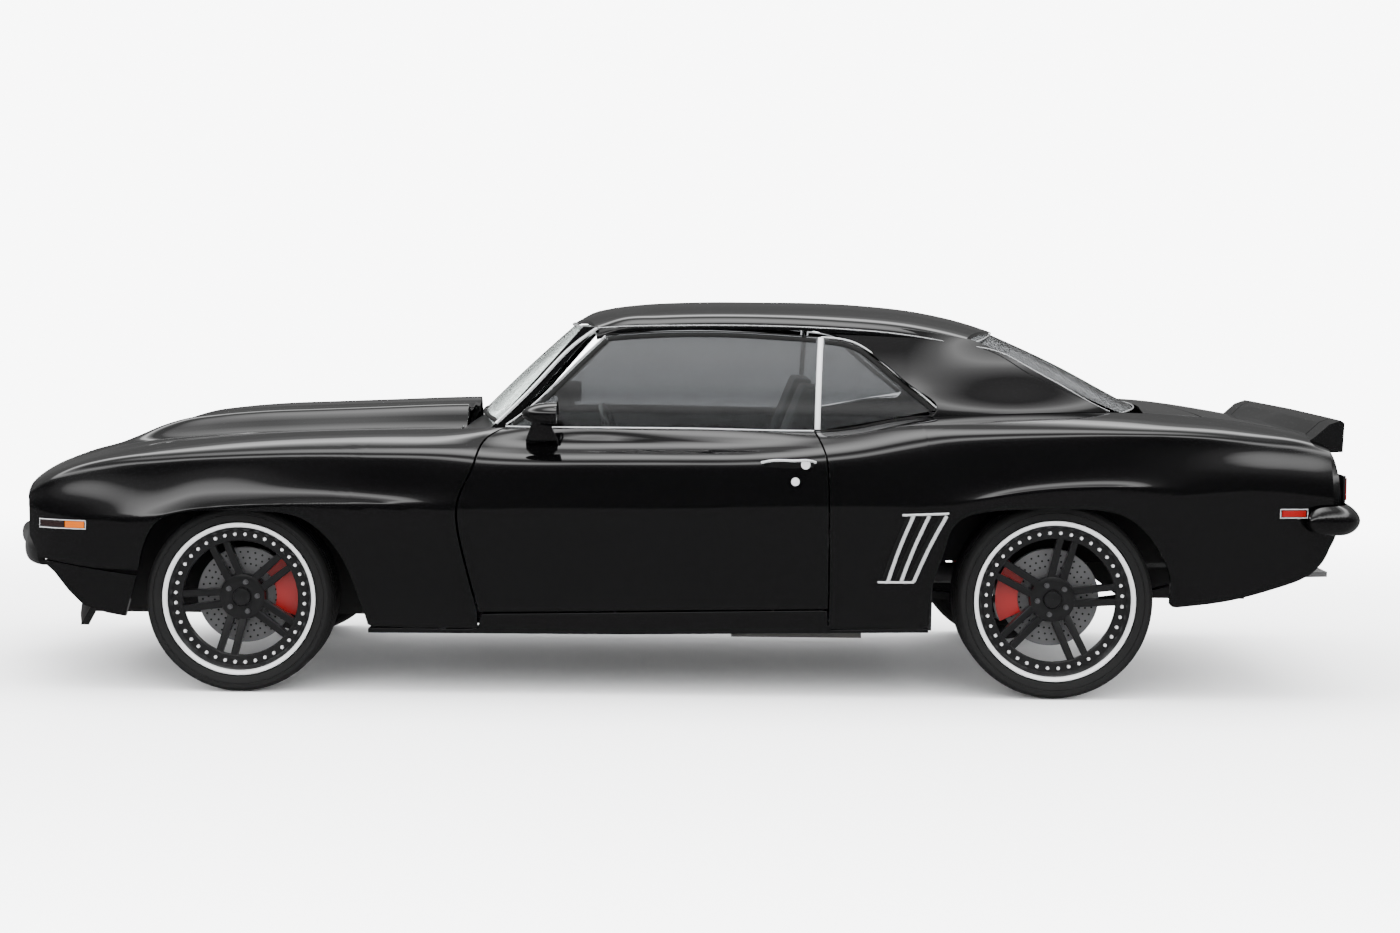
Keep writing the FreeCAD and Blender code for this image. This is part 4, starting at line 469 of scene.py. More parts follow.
def add_piece(name, build, material, body, slot, *nodes, bevel=0, smooth=40, mirrored=False):
    """Makes a piece of a bmesh in millimetres, on the car's other side where it is mirrored."""
    if mirrored:
        flipped(build)
    into_metres(build)
    item = finish_mesh(name, build, material, smooth=smooth)
    if bevel:
        round_edges(item, bevel)
    return place(item, body, slot, *nodes)


def both_sides(name, maker, body, slot, material, *nodes, bevel=1.6):
    """A left piece and its mirror image. Names with {} take the side."""
    for side in SIDES:
        add_piece("%s_%s" % (name, side), maker(), material, body.format(side), slot,
                  *[node.format(side) for node in nodes], bevel=bevel, mirrored=side == "right")


class Spline:
    """A smooth curve through values at ascending knots, free at its ends."""

    def __init__(self, knots):
        self.knots = np.array(knots, dtype=float)
        count = len(knots)
        steps = np.diff(self.knots)
        left = np.zeros((count, count))
        right = np.zeros((count, count))
        left[0, 0] = 1
        left[-1, -1] = 1
        for i in range(1, count - 1):
            left[i, i - 1] = steps[i - 1]
            left[i, i] = 2 * (steps[i - 1] + steps[i])
            left[i, i + 1] = steps[i]
            right[i, i - 1] = 6 / steps[i - 1]
            right[i, i] = -6 / steps[i - 1] - 6 / steps[i]
            right[i, i + 1] = 6 / steps[i]
        self.bends = np.linalg.solve(left, right)

    def weights(self, where):
        """What each knot's value adds at one place."""
        knots = self.knots
        span = int(np.clip(np.searchsorted(knots, where) - 1, 0, len(knots) - 2))
        step = knots[span + 1] - knots[span]
        after = (where - knots[span]) / step
        before = 1 - after
        result = ((before ** 3 - before) * self.bends[span]
                  + (after ** 3 - after) * self.bends[span + 1]) * step * step / 6
        result[span] += before
        result[span + 1] += after
        return result


def spline_value(knots, values, where):
    """A smooth curve through the values, its slope at each knot taken from both neighbours."""
    last = len(knots) - 1
    span = min(max(sum(1 for knot in knots[1:-1] if where > knot), 0), last - 1)

    def rise(i):
        return (values[i + 1] - values[i]) / (knots[i + 1] - knots[i])

    def slope(i):
        if i == 0:
            return rise(0)
        if i == last:
            return rise(last - 1)
        before = knots[i] - knots[i - 1]
        after = knots[i + 1] - knots[i]
        return (rise(i - 1) * after + rise(i) * before) / (before + after)

    step = knots[span + 1] - knots[span]
    t = (where - knots[span]) / step
    return ((1 + 2 * t) * (1 - t) ** 2 * values[span] + t * (1 - t) ** 2 * step * slope(span)
            + t * t * (3 - 2 * t) * values[span + 1] + t * t * (t - 1) * step * slope(span + 1))


def line_point(line, x):
    """The (y, z) of a feature line, drawn as (x, y, z) from front to rear, at one x."""
    knots = [point[0] for point in reversed(line)]
    return [spline_value(knots, [point[axis] for point in reversed(line)], x) for axis in (1, 2)]


def along_curve(points, count):
    """Points evenly spaced along a smooth curve through the given ones."""
    points = [Vector(point) for point in points]
    reach = [0.0]
    for before, after in zip(points, points[1:]):
        reach.append(reach[-1] + (after - before).length)
    if len(points) == 2:
        return [points[0].lerp(points[1], i / (count - 1)) for i in range(count)]
    curve = Spline(reach)
    result = []
    for i in range(count):
        weights = curve.weights(reach[-1] * i / (count - 1))
        total = Vector([0.0] * len(points[0]))
        for weight, point in zip(weights, points):
            total += point * float(weight)
        result.append(total)
    return result


def resampled(points, count):
    """The same path with evenly spaced points, taken along its straight pieces."""
    points = [Vector(point) for point in points]
    reach = [0.0]
    for before, after in zip(points, points[1:]):
        reach.append(reach[-1] + (after - before).length)
    result = []
    span = 0
    for i in range(count):
        target = reach[-1] * i / (count - 1)
        while span < len(points) - 2 and reach[span + 1] < target:
            span += 1
        step = max(reach[span + 1] - reach[span], 1e-9)
        result.append(points[span].lerp(points[span + 1], (target - reach[span]) / step))
    return result


def coons(bottom, top, start, end):
    """A net of plane points between four sides. Bottom and top run one way, start and end the other."""
    columns = len(bottom)
    rows = len(start)
    net = []
    for j in range(rows):
        t = j / (rows - 1)
        line = []
        for i in range(columns):
            s = i / (columns - 1)
            ruled = bottom[i] * (1 - t) + top[i] * t
            crossed = start[j] * (1 - s) + end[j] * s
            corners = ((bottom[0] * (1 - s) + bottom[-1] * s) * (1 - t)
                       + (top[0] * (1 - s) + top[-1] * s) * t)
            line.append(ruled + crossed - corners)
        net.append(line)
    return net


def shell_mesh(outer, inner):
    """A closed panel between two nets of points with the same layout, in millimetres."""
    rows = len(outer)
    columns = len(outer[0])
    build = bmesh.new()
    bmesh.ops.create_grid(build, x_segments=columns - 1, y_segments=rows - 1, size=1)
    build.verts.ensure_lookup_table()
    front = list(build.verts)
    back = bmesh.ops.duplicate(build, geom=build.verts[:] + build.edges[:] + build.faces[:])
    twins = {vert: back["vert_map"][vert] for vert in front}
    for index, vert in enumerate(front):
        twins[vert].co = inner[index // columns][index % columns]
        vert.co = outer[index // columns][index % columns]
    rim = [edge for edge in build.edges if edge.is_boundary]
    bmesh.ops.bridge_loops(build, edges=rim)
    bmesh.ops.recalc_face_normals(build, faces=build.faces)
    return build


def add_strip(name, path, width, depth, material, body, normal, count):
    """A strip with a rounded section along a path: width lies in the surface, depth stands out of it."""
    points = along_curve(path, count or max(8, 6 * len(path)))
    face = Vector(normal).normalized()
    build = bmesh.new()
    rings = []
    steps = 8
    total = len(points)
    for index, point in enumerate(points):
        before = points[max(index - 1, 0)]
        after = points[min(index + 1, total - 1)]
        ahead = (after - before).normalized()
        side = ahead.cross(face).normalized()
        out = side.cross(ahead).normalized()
        ring = bmesh.ops.create_circle(build, radius=1, segments=steps)["verts"]
        for number, vert in enumerate(ring):
            angle = 2 * math.pi * number / steps
            vert.co = point + side * (math.cos(angle) * width / 2) + out * (math.sin(angle) * depth / 2)
        rings.append(ring)
    for first, second in zip(rings, rings[1:]):
        for number in range(steps):
            after = (number + 1) % steps
            build.faces.new((first[number], first[after], second[after], second[number]))
    for ring in (rings[0], rings[-1]):
        build.faces.new(ring)
    outward(build)
    bright = material in (CHROME, POLISHED)
    add_piece(name, build, material, body, "chrome" if bright else "black_plastic", smooth=60)


def spin_loop(build, verts, centre, axis, steps):
    """Joins points in a loop and spins it about an axis."""
    edges = [build.edges.new((verts[i], verts[(i + 1) % len(verts)])) for i in range(len(verts))]
    bmesh.ops.spin(build, geom=verts + edges, cent=centre, axis=axis, dvec=(0, 0, 0), angle=2 * math.pi,
                   steps=steps, use_merge=True)


def turned(profile, centre, steps, build=None):
    """A closed profile of (y, radius) points, spun about a crosswise axle."""
    build = build or bmesh.new()
    verts = [build.verts.new((centre.x, y, centre.z + radius)) for y, radius in profile]
    spin_loop(build, verts, centre, (0, 1, 0), steps)
    return build


def faces_of(verts):
    return list({face for vert in verts for face in vert.link_faces})


def edges_of(verts):
    return list({edge for vert in verts for edge in vert.link_edges})


def bevelled(build, edges, offset, segments=2, profile=0.5):
    return bmesh.ops.bevel(build, geom=edges, offset=offset, offset_type="OFFSET", segments=segments,
                           profile=profile, affect="EDGES", material=-1)


def slab(x_range, y_range, z_range, bevel, build=None):
    """A block with its edges bevelled."""
    build = build or bmesh.new()
    low = Vector((x_range[0], y_range[0], z_range[0]))
    high = Vector((x_range[1], y_range[1], z_range[1]))
    verts = bmesh.ops.create_cube(build, size=1)["verts"]
    bmesh.ops.scale(build, vec=high - low, verts=verts)
    bmesh.ops.translate(build, vec=(high + low) / 2, verts=verts)
    bevelled(build, edges_of(verts), bevel)
    return build


def rod(start, end, radius, segments=16, end_radius=None, build=None):
    """A round bar between two points, or a cone where the end radius differs."""
    build = build or bmesh.new()
    start = Vector(start)
    axis = Vector(end) - start
    turn = axis.to_track_quat("Z", "Y").to_matrix().to_4x4()
    bmesh.ops.create_cone(build, cap_ends=True, segments=segments, radius1=radius,
                          radius2=radius if end_radius is None else end_radius, depth=axis.length,
                          matrix=Matrix.Translation(start + axis / 2) @ turn)
    return build


def smooth_copy(node, *materials):
    """A merged copy of a node, shaded smooth, in place of its loose triangles."""
    build = bmesh.new()
    build.from_mesh(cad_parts[node].data)
    bmesh.ops.remove_doubles(build, verts=build.verts, dist=0.00002)
    bmesh.ops.dissolve_degenerate(build, edges=build.edges, dist=0.00001)
    item = finish_mesh(node + "_dressed", build, *materials, smooth=32)
    item.modifiers.new("even_shading", "WEIGHTED_NORMAL").keep_sharp = True
    return item


# Feature lines of the body side, front to rear as (x, y, z), the same as the frame's.
SILL = [(2200, 690, 180), (2090, 790, 180), (2000, 835, 180), (1800, 878, 180), (1422, 893, 180),
        (600, 893, 180), (-1321, 893, 180), (-1700, 885, 180), (-2000, 855, 180), (-2200, 810, 180),
        (-2370, 735, 180)]
LOWER = [(2200, 735, 400), (2090, 832, 400), (2000, 876, 400), (1800, 912, 400), (1422, 926, 400),
         (600, 927, 400), (-550, 929, 400), (-1321, 931, 400), (-1700, 922, 400), (-2000, 893, 400),
         (-2200, 858, 400), (-2370, 808, 400)]
CREASE = [(2200, 748, 618), (2120, 822, 607), (2050, 868, 600), (1950, 900, 594), (1800, 921, 588),
          (1690, 930, 594), (1600, 934, 615), (1485, 937, 630), (1300, 938, 640), (600, 938, 643),
          (0, 939, 648), (-550, 940, 656), (-880, 940, 662), (-1010, 940, 674), (-1171, 940, 702),
          (-1311, 940, 719), (-1521, 936, 726), (-1777, 925, 715), (-2076, 897, 697),
          (-2250, 866, 684), (-2370, 822, 678)]
CREST = [(2200, 722, 632), (2139, 770, 673), (2091, 792, 705), (1991, 810, 751), (1855, 822, 782),
         (1700, 830, 799), (1422, 838, 820), (953, 842, 841), (214, 843, 848), (-400, 848, 857),
         (-624, 855, 876), (-858, 862, 910), (-1126, 864, 921), (-1529, 856, 924), (-1811, 838, 916),
         (-2018, 815, 898), (-2184, 792, 876), (-2270, 775, 850), (-2370, 750, 800)]
TOP = [(2200, 692, 660), (2100, 692, 722), (2004, 692, 761), (1768, 692, 816), (1529, 692, 847),
       (1241, 692, 869), (954, 692, 879), (700, 700, 886), (560, 760, 893), (420, 797, 897),
       (-121, 797, 897), (-391, 797, 893), (-511, 797, 893), (-662, 792, 909), (-756, 784, 929),
       (-907, 770, 945), (-1140, 752, 955), (-1377, 718, 962), (-1540, 688, 962), (-1640, 662, 960),
       (-1700, 650, 957), (-1846, 644, 948), (-2064, 642, 918), (-2200, 640, 893), (-2370, 640, 850)]
STATIONS = [2200, 2150, 2100, 2050, 1990, 1900, 1800, 1700, 1600, 1500, 1400, 1250, 1100, 900, 700, 560,
            400, 200, 0, -200, -400, -530, -660, -780, -900, -1020, -1150, -1290, -1430, -1580, -1730,
            -1880, -2020, -2130, -2220, -2300, -2370]
DOOR_FRONT = [(616, 284), (670, 495), (688, 599), (685, 655), (634, 777), (607, 852), (528, 899)]
DOOR_REAR = [(-509, 896), (-541, 827), (-552, 733), (-557, 306)]
FRONT_ARCH = [(345, -150), (335, -39), (330, 83), (301, 206), (264, 263), (198, 292), (67, 304),
              (-74, 302), (-214, 282), (-289, 231), (-354, 147), (-401, 34), (-439, -88), (-460, -200)]
REAR_ARCH = [(432, -200), (427, -73), (416, 64), (380, 178), (355, 251), (318, 285), (250, 305),
             (153, 314), (6, 318), (-141, 314), (-215, 296), (-289, 242), (-340, 174), (-375, 96),
             (-379, -3), (-380, -200)]
REAR_LOWER = [(-1650, 312), (-1712, 320), (-1894, 343), (-2081, 392), (-2175, 431), (-2235, 500),
              (-2252, 565)]
# How far in and up the skin has come at the hollow above the crease, as (x, share in, share up).
HOLLOW = [(2200, 0.1, 0.35), (1900, 0.2, 0.3), (1700, 0.28, 0.27), (1400, 0.27, 0.25), (1100, 0.27, 0.24),
          (900, 0.21, 0.24), (600, 0.1, 0.32), (0, 0.07, 0.35), (-600, 0.07, 0.35), (-900, 0.11, 0.28),
          (-1050, 0.18, 0.22), (-1300, 0.2, 0.21), (-1600, 0.19, 0.22), (-1850, 0.1, 0.3),
          (-2370, 0.09, 0.35)]
# The same at the shoulder below the crest.
SHOULDER = [(2200, 0.47, 0.76), (1900, 0.56, 0.74), (1700, 0.62, 0.74), (1400, 0.6, 0.74), (1100, 0.5, 0.75),
            (900, 0.4, 0.77), (600, 0.33, 0.78), (0, 0.28, 0.79), (-600, 0.3, 0.79), (-900, 0.36, 0.78),
            (-1300, 0.42, 0.76), (-1850, 0.46, 0.76), (-2370, 0.47, 0.76)]
# How each row leans inwards through the wall, as (y, z): sill, lower, waist, crease, hollow, shoulder, crest,
# brow and top.
LEAN = [(-1, 0), (-1, 0), (-1, 0), (-1, -0.1), (-1, -0.2), (-0.85, -0.5), (-0.6, -0.8), (-0.3, -0.95),
        (0, -1)]
CREASE_ROW = 3
TOP_ROW = 8


def blended(first, second, y_part, z_part):
    return (first[0] + y_part * (second[0] - first[0]), first[1] + z_part * (second[1] - first[1]))


def side_section(x):
    """The (y, z) points of the body side at one station, from the sill up to the top."""
    sill, lower, crease, crest, top = [line_point(line, x) for line in (SILL, LOWER, CREASE, CREST, TOP)]
    waist = blended(lower, crease, 0.6, 0.5)
    waist = (waist[0] + 3, waist[1])
    hollow = blended(crease, crest, *line_point(HOLLOW, x))
    shoulder = blended(crease, crest, *line_point(SHOULDER, x))
    brow = blended(crest, top, 0.5, 0.66)
    return [sill, lower, waist, crease, hollow, shoulder, crest, brow, top]


class BodySide:
    """The smooth outer skin of the left side, as a surface of x and a row number from 0 to 8."""

    def __init__(self):
        ordered = sorted(STATIONS)
        self.along = Spline(ordered)
        self.table = np.array([side_section(x) for x in ordered])
        middle = self.table[len(ordered) // 2]
        self.strips = []
        for first, last in ((0, CREASE_ROW), (CREASE_ROW, TOP_ROW)):
            reach = [0.0]
            for row in range(first, last):
                reach.append(reach[-1] + float(np.linalg.norm(middle[row + 1] - middle[row])))
            self.strips.append((first, last, np.array(reach), Spline(reach)))

    def point(self, x, row, depth=0.0):
        """The skin at one place, or a place that lies inside it by a depth."""
        section = np.tensordot(self.along.weights(x), self.table, axes=(0, 0))
        first, last, reach, across = self.strips[0 if row <= CREASE_ROW else 1]
        place_in = float(np.interp(row, range(first, last + 1), reach))
        y, z = across.weights(place_in) @ section[first:last + 1]
        if depth:
            y += float(np.interp(row, range(TOP_ROW + 1), [lean[0] for lean in LEAN])) * depth
            z += float(np.interp(row, range(TOP_ROW + 1), [lean[1] for lean in LEAN])) * depth
        return Vector((x, y, z))

    def row_at(self, x, z):
        """The row number where the skin at x has this height."""
        low = 0.0
        high = float(TOP_ROW)
        for _ in range(22):
            middle = (low + high) / 2
            if self.point(x, middle).z < z:
                low = middle
            else:
                high = middle
        return (low + high) / 2

    def drawn(self, points, count):
        """A seam drawn as (x, z) points, as evenly spaced (x, row) ones."""
        return [Vector((x, self.row_at(x, z))) for x, z in resampled(points, count)]


SKIN = BodySide()
SIDE_WALL = 28
DOOR_WALL = 26
ROCKER_WALL = 90
DOOR_GAP = 3.5
PANEL_GAP = 2.5
SIDE_ROWS = 44
DOOR_TOP_FRONT = DOOR_FRONT[-1][0]
DOOR_TOP_REAR = DOOR_REAR[0][0]


def skin_panel(bottom, top, start, end, depth=SIDE_WALL):
    """A closed body-side panel between four seams given as (x, row) points."""
    net = coons(bottom, top, start, end)
    outer = [[SKIN.point(spot.x, spot.y) for spot in line] for line in net]
    inner = [[SKIN.point(spot.x, spot.y, depth) for spot in line] for line in net]
    return shell_mesh(outer, inner)


def arch_run(outline, axle, x_from, x_to, above):
    """The part of a wheel opening between two places and above a height."""
    path = along_curve([(axle.x + x, axle.z + z) for x, z in outline], 160)
    return [spot for spot in sorted(map(tuple, path)) if x_from <= spot[0] <= x_to and spot[1] > above]


def curve_spots(points, count):
    return [tuple(point) for point in along_curve(points, count)]


def top_for(bottom, x_from, x_to):
    """Top-edge places above a bottom edge: each column stays upright."""
    low = bottom[0].x
    high = bottom[-1].x
    return [Vector((x_from + (x_to - x_from) * (spot.x - low) / (high - low), TOP_ROW)) for spot in bottom]


def rising(from_row, places):
    """The upright edge of a panel from a row up to the top, at evenly spaced rows."""
    return [Vector((x, from_row + (TOP_ROW - from_row) * j / (SIDE_ROWS - 1))) for j, x in enumerate(places)]


def fender_mesh():
    arch = arch_run(FRONT_ARCH, FRONT_AXLE, 984, 1751, 228)
    lower = [(619.5, 228), (800, 228)] + arch + [(1900, 419), (2069, 441), (2100, 446), (2140, 516)]
    bottom = SKIN.drawn(lower, 130)
    rear_edge = [(x + DOOR_GAP, z) for x, z in DOOR_FRONT]
    start = SKIN.drawn([(619.5, 228)] + curve_spots(rear_edge, 40), SIDE_ROWS)
    start[-1] = Vector((DOOR_TOP_FRONT + DOOR_GAP, TOP_ROW))
    nose_edge = SKIN.drawn([(2140, 516), (2153, 657)], SIDE_ROWS)
    end = rising(nose_edge[0].y, [spot.x for spot in nose_edge])
    return skin_panel(bottom, top_for(bottom, start[-1].x, 2153), start, end)


def quarter_mesh():
    arch = arch_run(REAR_ARCH, REAR_AXLE, -1700, -894, 322)
    tail = sorted(spot for spot in curve_spots(REAR_LOWER, 30) if spot[0] < -1704)
    bottom = SKIN.drawn(tail + arch + [(-893, 250), (-880, 240), (-559.5, 238)], 140)
    tail_edge = SKIN.drawn([(-2252, 565), (-2246, 640), (-2244, 800)], SIDE_ROWS)
    start = rising(tail_edge[0].y, [-2252 + 8 * j / (SIDE_ROWS - 1) for j in range(SIDE_ROWS)])
    front_edge = [(x - PANEL_GAP, z) for x, z in reversed(DOOR_REAR)]
    end = SKIN.drawn([(-559.5, 238)] + curve_spots(front_edge, 30), SIDE_ROWS)
    end[-1] = Vector((DOOR_TOP_REAR - PANEL_GAP, TOP_ROW))
    return skin_panel(bottom, top_for(bottom, -2244, end[-1].x), start, end)


def door_mesh():
    columns = 84
    bottom = SKIN.drawn([(-554.5, 306), (612.5, 286)], columns)
    rear_edge = [(x + PANEL_GAP, z) for x, z in reversed(DOOR_REAR)]
    front_edge = [(x - DOOR_GAP, z) for x, z in DOOR_FRONT]
    start = SKIN.drawn(curve_spots(rear_edge, 30), SIDE_ROWS)
    start[-1] = Vector((DOOR_TOP_REAR + PANEL_GAP, TOP_ROW))
    end = SKIN.drawn(curve_spots(front_edge, 40), SIDE_ROWS)
    end[-1] = Vector((DOOR_TOP_FRONT - DOOR_GAP, TOP_ROW))
    top = [start[-1].lerp(end[-1], i / (columns - 1)) for i in range(columns)]
    return skin_panel(bottom, top, start, end, DOOR_WALL)


def rocker_mesh():
    """The sill below the door."""
    columns = 80
    rows = 6
    bottom = SKIN.drawn([(-893, 228), (-396, 220), (136, 211), (985, 209)], columns)
    top = SKIN.drawn([(-893, 240), (-554, 234), (-553, 300), (609, 276), (614, 224), (985, 224)], columns)
    start = SKIN.drawn([(-893, 228), (-893, 240)], rows)
    end = SKIN.drawn([(985, 209), (985, 224)], rows)
    return skin_panel(bottom, top, start, end, ROCKER_WALL)


# Hood, nose, roof and deck

HOOD_FOOT = [(2200, 0, 714), (2100, 0, 746), (2000, 0, 776), (1874, 0, 811), (1730, 0, 829),
             (1590, 0, 842), (1292, 0, 859), (869, 0, 874), (560, 0, 880)]
HOOD_MIDDLE = [(2200, 0, 719), (2110, 0, 748), (2031, 0, 776), (1933, 0, 804), (1874, 0, 827),
               (1798, 0, 858), (1715, 0, 882), (1592, 0, 900), (1447, 0, 913), (1241, 0, 923),
               (1035, 0, 932), (779, 0, 943), (560, 0, 948)]
# The crosswise edges are drawn as (x, y), and across() carries them on to the right.
HOOD_FRONT = [(2105, 0), (2094, 480), (2076, 685)]
HOOD_REAR = 700
# Each place across, the share of the way from the seam to the foot, and from the foot to the middle.
HOOD_ROWS = [(686, 0, 0), (600, 0.45, 0), (480, 0.82, 0), (365, 1, 0), (322, 1, 0.86), (240, 1, 0.97),
             (0, 1, 1)]
LID_WALL = 12
ROOF_WALL = 14
ROOF_MIDDLE = [(360, 0, 1234), (324, 0, 1246), (271, 0, 1276), (208, 0, 1292), (113, 0, 1305),
               (-119, 0, 1318), (-350, 0, 1320), (-500, 0, 1320), (-707, 0, 1312), (-914, 0, 1290),
               (-1069, 0, 1256), (-1157, 0, 1228), (-1260, 0, 1190)]
ROOF_EDGE = [(360, 0, 1190), (227, 0, 1241), (159, 0, 1263), (20, 0, 1273), (-118, 0, 1278),
             (-350, 0, 1279), (-573, 0, 1272), (-863, 0, 1247), (-1038, 0, 1211), (-1260, 0, 1140)]
# Each place across, the share of the way up from edge to middle, and the drop below the edge.
ROOF_ROWS = [(645, 0, 36), (632, 0, 20), (600, 0, 0), (520, 0.42, 0), (330, 0.86, 0), (0, 1, 0)]
ROOF_FRONT = [(330, 0), (298, 350), (244, 600), (232, 660)]
ROOF_BACK = [(-1168, 0), (-1130, 350), (-1042, 600), (-1020, 660)]
DECK_MIDDLE = [(-1560, 0, 990), (-1701, 0, 966), (-1846, 0, 955), (-2064, 0, 925), (-2200, 0, 901),
               (-2330, 0, 874)]
DECK_ROWS = [(662, 0), (560, 0.45), (330, 0.85), (0, 1)]
DECK_FRONT = [(-1703, 0), (-1684, 300), (-1652, 530), (-1640, 662)]
LID_HALF = 634
LID_SEAM = -1846
LID_REAR = -2240
LID_HINGE_Y = (-520, 520)


class Blanket:
    """A skin drawn as lines at a few places across the car, the same on both sides."""

    def __init__(self, rows, heights):
        """Each row starts with its place across the car. Heights gives the height there for each x."""
        places = [row[0] for row in rows]
        self.across = Spline([-place for place in places] + [place for place in reversed(places[:-1])])
        self.heights = heights

    def point(self, x, y, depth=0.0):
        half = self.heights(x)
        values = np.array(half + list(reversed(half[:-1])))
        return Vector((x, y, float(self.across.weights(y) @ values) - depth))


def hood_heights(x):
    seam, foot, middle = [line_point(line, x)[1] for line in (TOP, HOOD_FOOT, HOOD_MIDDLE)]
    return [seam + to_foot * (foot - seam) + to_middle * (middle - foot)
            for _, to_foot, to_middle in HOOD_ROWS]


def roof_heights(x):
    edge, middle = [line_point(line, x)[1] for line in (ROOF_EDGE, ROOF_MIDDLE)]
    return [edge + share * (middle - edge) - drop for _, share, drop in ROOF_ROWS]


def deck_heights(x):
    edge, middle = [line_point(line, x)[1] for line in (TOP, DECK_MIDDLE)]
    return [edge + share * (middle - edge) for _, share in DECK_ROWS]


def across(row):
    """A crosswise line drawn from the middle to the left, carried on to the right."""
    return [(spot[0], -spot[1], *spot[2:]) for spot in reversed(row[1:])] + list(row)


def edge_function(points):
    """The x of a crosswise edge at y, through (x, y) points."""
    full = across(points)
    curve = Spline([y for _, y in full])
    values = np.array([x for x, _ in full])
    return lambda y: float(curve.weights(y) @ values)


def top_panel(blanket, rear, front, half, columns, rows, wall):
    """A panel seen from above, between a rear and a front edge given as functions of y."""
    outer = []
    for j in range(rows):
        t = j / (rows - 1)
        outer.append([])
        for i in range(columns):
            y = -half + 2 * half * i / (columns - 1)
            outer[-1].append((rear(y) + (front(y) - rear(y)) * t, y))
    inner = [[blanket.point(x, y, wall) for x, y in line] for line in outer]
    return shell_mesh([[blanket.point(x, y) for x, y in line] for line in outer], inner)


def add_hood():
    blanket = Blanket(HOOD_ROWS, hood_heights)
    build = top_panel(blanket, lambda y: HOOD_REAR, edge_function(HOOD_FRONT), 685, 120, 90, LID_WALL)
    add_piece("hood_skin", build, BODY_BLACK, "hood", "body_paint", "hood", bevel=1.6)
    ears = bmesh.new()
    for y in (-260, 260):
        slab((704, 742), (y - 5, y + 5), (896, 936), 2, ears)
    add_piece("hood_hinge_ears", ears, CHASSIS_BLACK, "hood", "chassis_metal")


def shaped_block(build, sign, x_low, x_high, y_low, y_high, z_low, z_high):
    """A cube drawn out between a lower and an upper rectangle, as (from, to) along x and y."""
    verts = bmesh.ops.create_cube(build, size=1)["verts"]
    for vert in verts:
        x_pair, y_pair, z = (x_high, y_high, z_high) if vert.co.z > 0 else (x_low, y_low, z_low)
        vert.co = (x_pair[vert.co.x > 0], sign * y_pair[vert.co.y > 0], z)
    return verts


def add_roof():
    """The roof skin with its two front pillars."""
    blanket = Blanket(ROOF_ROWS, roof_heights)
    build = top_panel(blanket, edge_function(ROOF_BACK), edge_function(ROOF_FRONT), 644, 110, 80, ROOF_WALL)
    for sign in (1, -1):
        pillar = shaped_block(build, sign, (540, 596), (232, 282), (664, 702), (594, 634), 884, 1238)
        bmesh.ops.recalc_face_normals(build, faces=faces_of(pillar))
    add_piece("roof_skin", build, BODY_BLACK, "body", "body_paint", "roof", bevel=3)


def add_deck():
    blanket = Blanket(DECK_ROWS, deck_heights)
    build = top_panel(blanket, lambda y: LID_SEAM + 7.5, edge_function(DECK_FRONT), 643, 90, 30, LID_WALL)
    for y in LID_HINGE_Y:
        for side in (-1, 1):
            slab((-1711, -1689), (y + side * 11 - 4, y + side * 11 + 4), (914, 950), 2, build)
        rod((-1700, y - 15, 925), (-1700, y + 15, 925), 5, build=build)
    add_piece("deck_panel_skin", build, BODY_BLACK, "body", "body_paint", "deck_panel", bevel=1.6)
    build = top_panel(blanket, lambda y: LID_REAR, lambda y: LID_SEAM, LID_HALF, 90, 50, LID_WALL)
    slab((LID_REAR - 16, LID_REAR + 6), (-LID_HALF, LID_HALF), (812, 884), 4, build)
    add_piece("trunk_lid_skin", build, BODY_BLACK, "trunk_lid", "body_paint", "trunk_lid", bevel=1.6)
    arms = bmesh.new()
    outline = [(-1700, 925), (-1700, 766), (-1706, 761), (-1888, 761), (-1895, 768), (-1895, 938)]
    for y in LID_HINGE_Y:
        for first, second in zip(outline, outline[1:]):
            rod((first[0], y, first[1]), (second[0], y, second[1]), 8, 12, build=arms)
    add_piece("trunk_lid_arms", arms, CHASSIS_BLACK, "trunk_lid", "chassis_metal")


def rows_panel(rows, columns, steps, offset):
    """A closed skin through rows drawn from the middle to the left, carried on to the right."""
    lines = [along_curve(across(row), columns) for row in rows]
    strands = [along_curve([line[column] for line in lines], steps) for column in range(columns)]
    outer = [list(points) for points in zip(*strands)]
    inner = [[point + Vector(offset) for point in row] for row in outer]
    return shell_mesh(outer, inner)


def add_nose():
    rows = [[(2110, 0, 748.5), (2107, 250, 746), (2099, 480, 738), (2081, 691, 720)],
            [(2180, 0, 726), (2164, 250, 723), (2138, 480, 716), (2110, 691, 702)],
            [(2246, 0, 692), (2222, 250, 690), (2182, 480, 686), (2136, 691, 678)],
            [(2300, 0, 646), (2268, 250, 648), (2214, 480, 650), (2150, 691, 650)],
            [(2320, 0, 606), (2280, 250, 608), (2224, 480, 611), (2156, 691, 617)],
            [(2314, 0, 584), (2274, 250, 586), (2219, 480, 588), (2150, 691, 591)]]
    build = rows_panel(rows, 90, 40, (-LID_WALL, 0, -LID_WALL * 0.7))
    add_piece("nose_skin", build, BODY_BLACK, "body", "body_paint", "nose_panel", bevel=1.6)


SAIL_LEAN = [(915, 772), (960, 763), (1040, 733), (1110, 700), (1190, 656), (1250, 620), (1290, 596)]
SAIL_TAPER = [(-1560, 84), (-1480, 62), (-1380, 42), (-1250, 22), (-1100, 10), (-950, 2), (-800, 0),
              (-400, 0)]
SAIL_DISH = 26


def curve_value(spots, where):
    """A smooth curve through (place, value) pairs."""
    return spline_value([spot[0] for spot in spots], [spot[1] for spot in spots], where)


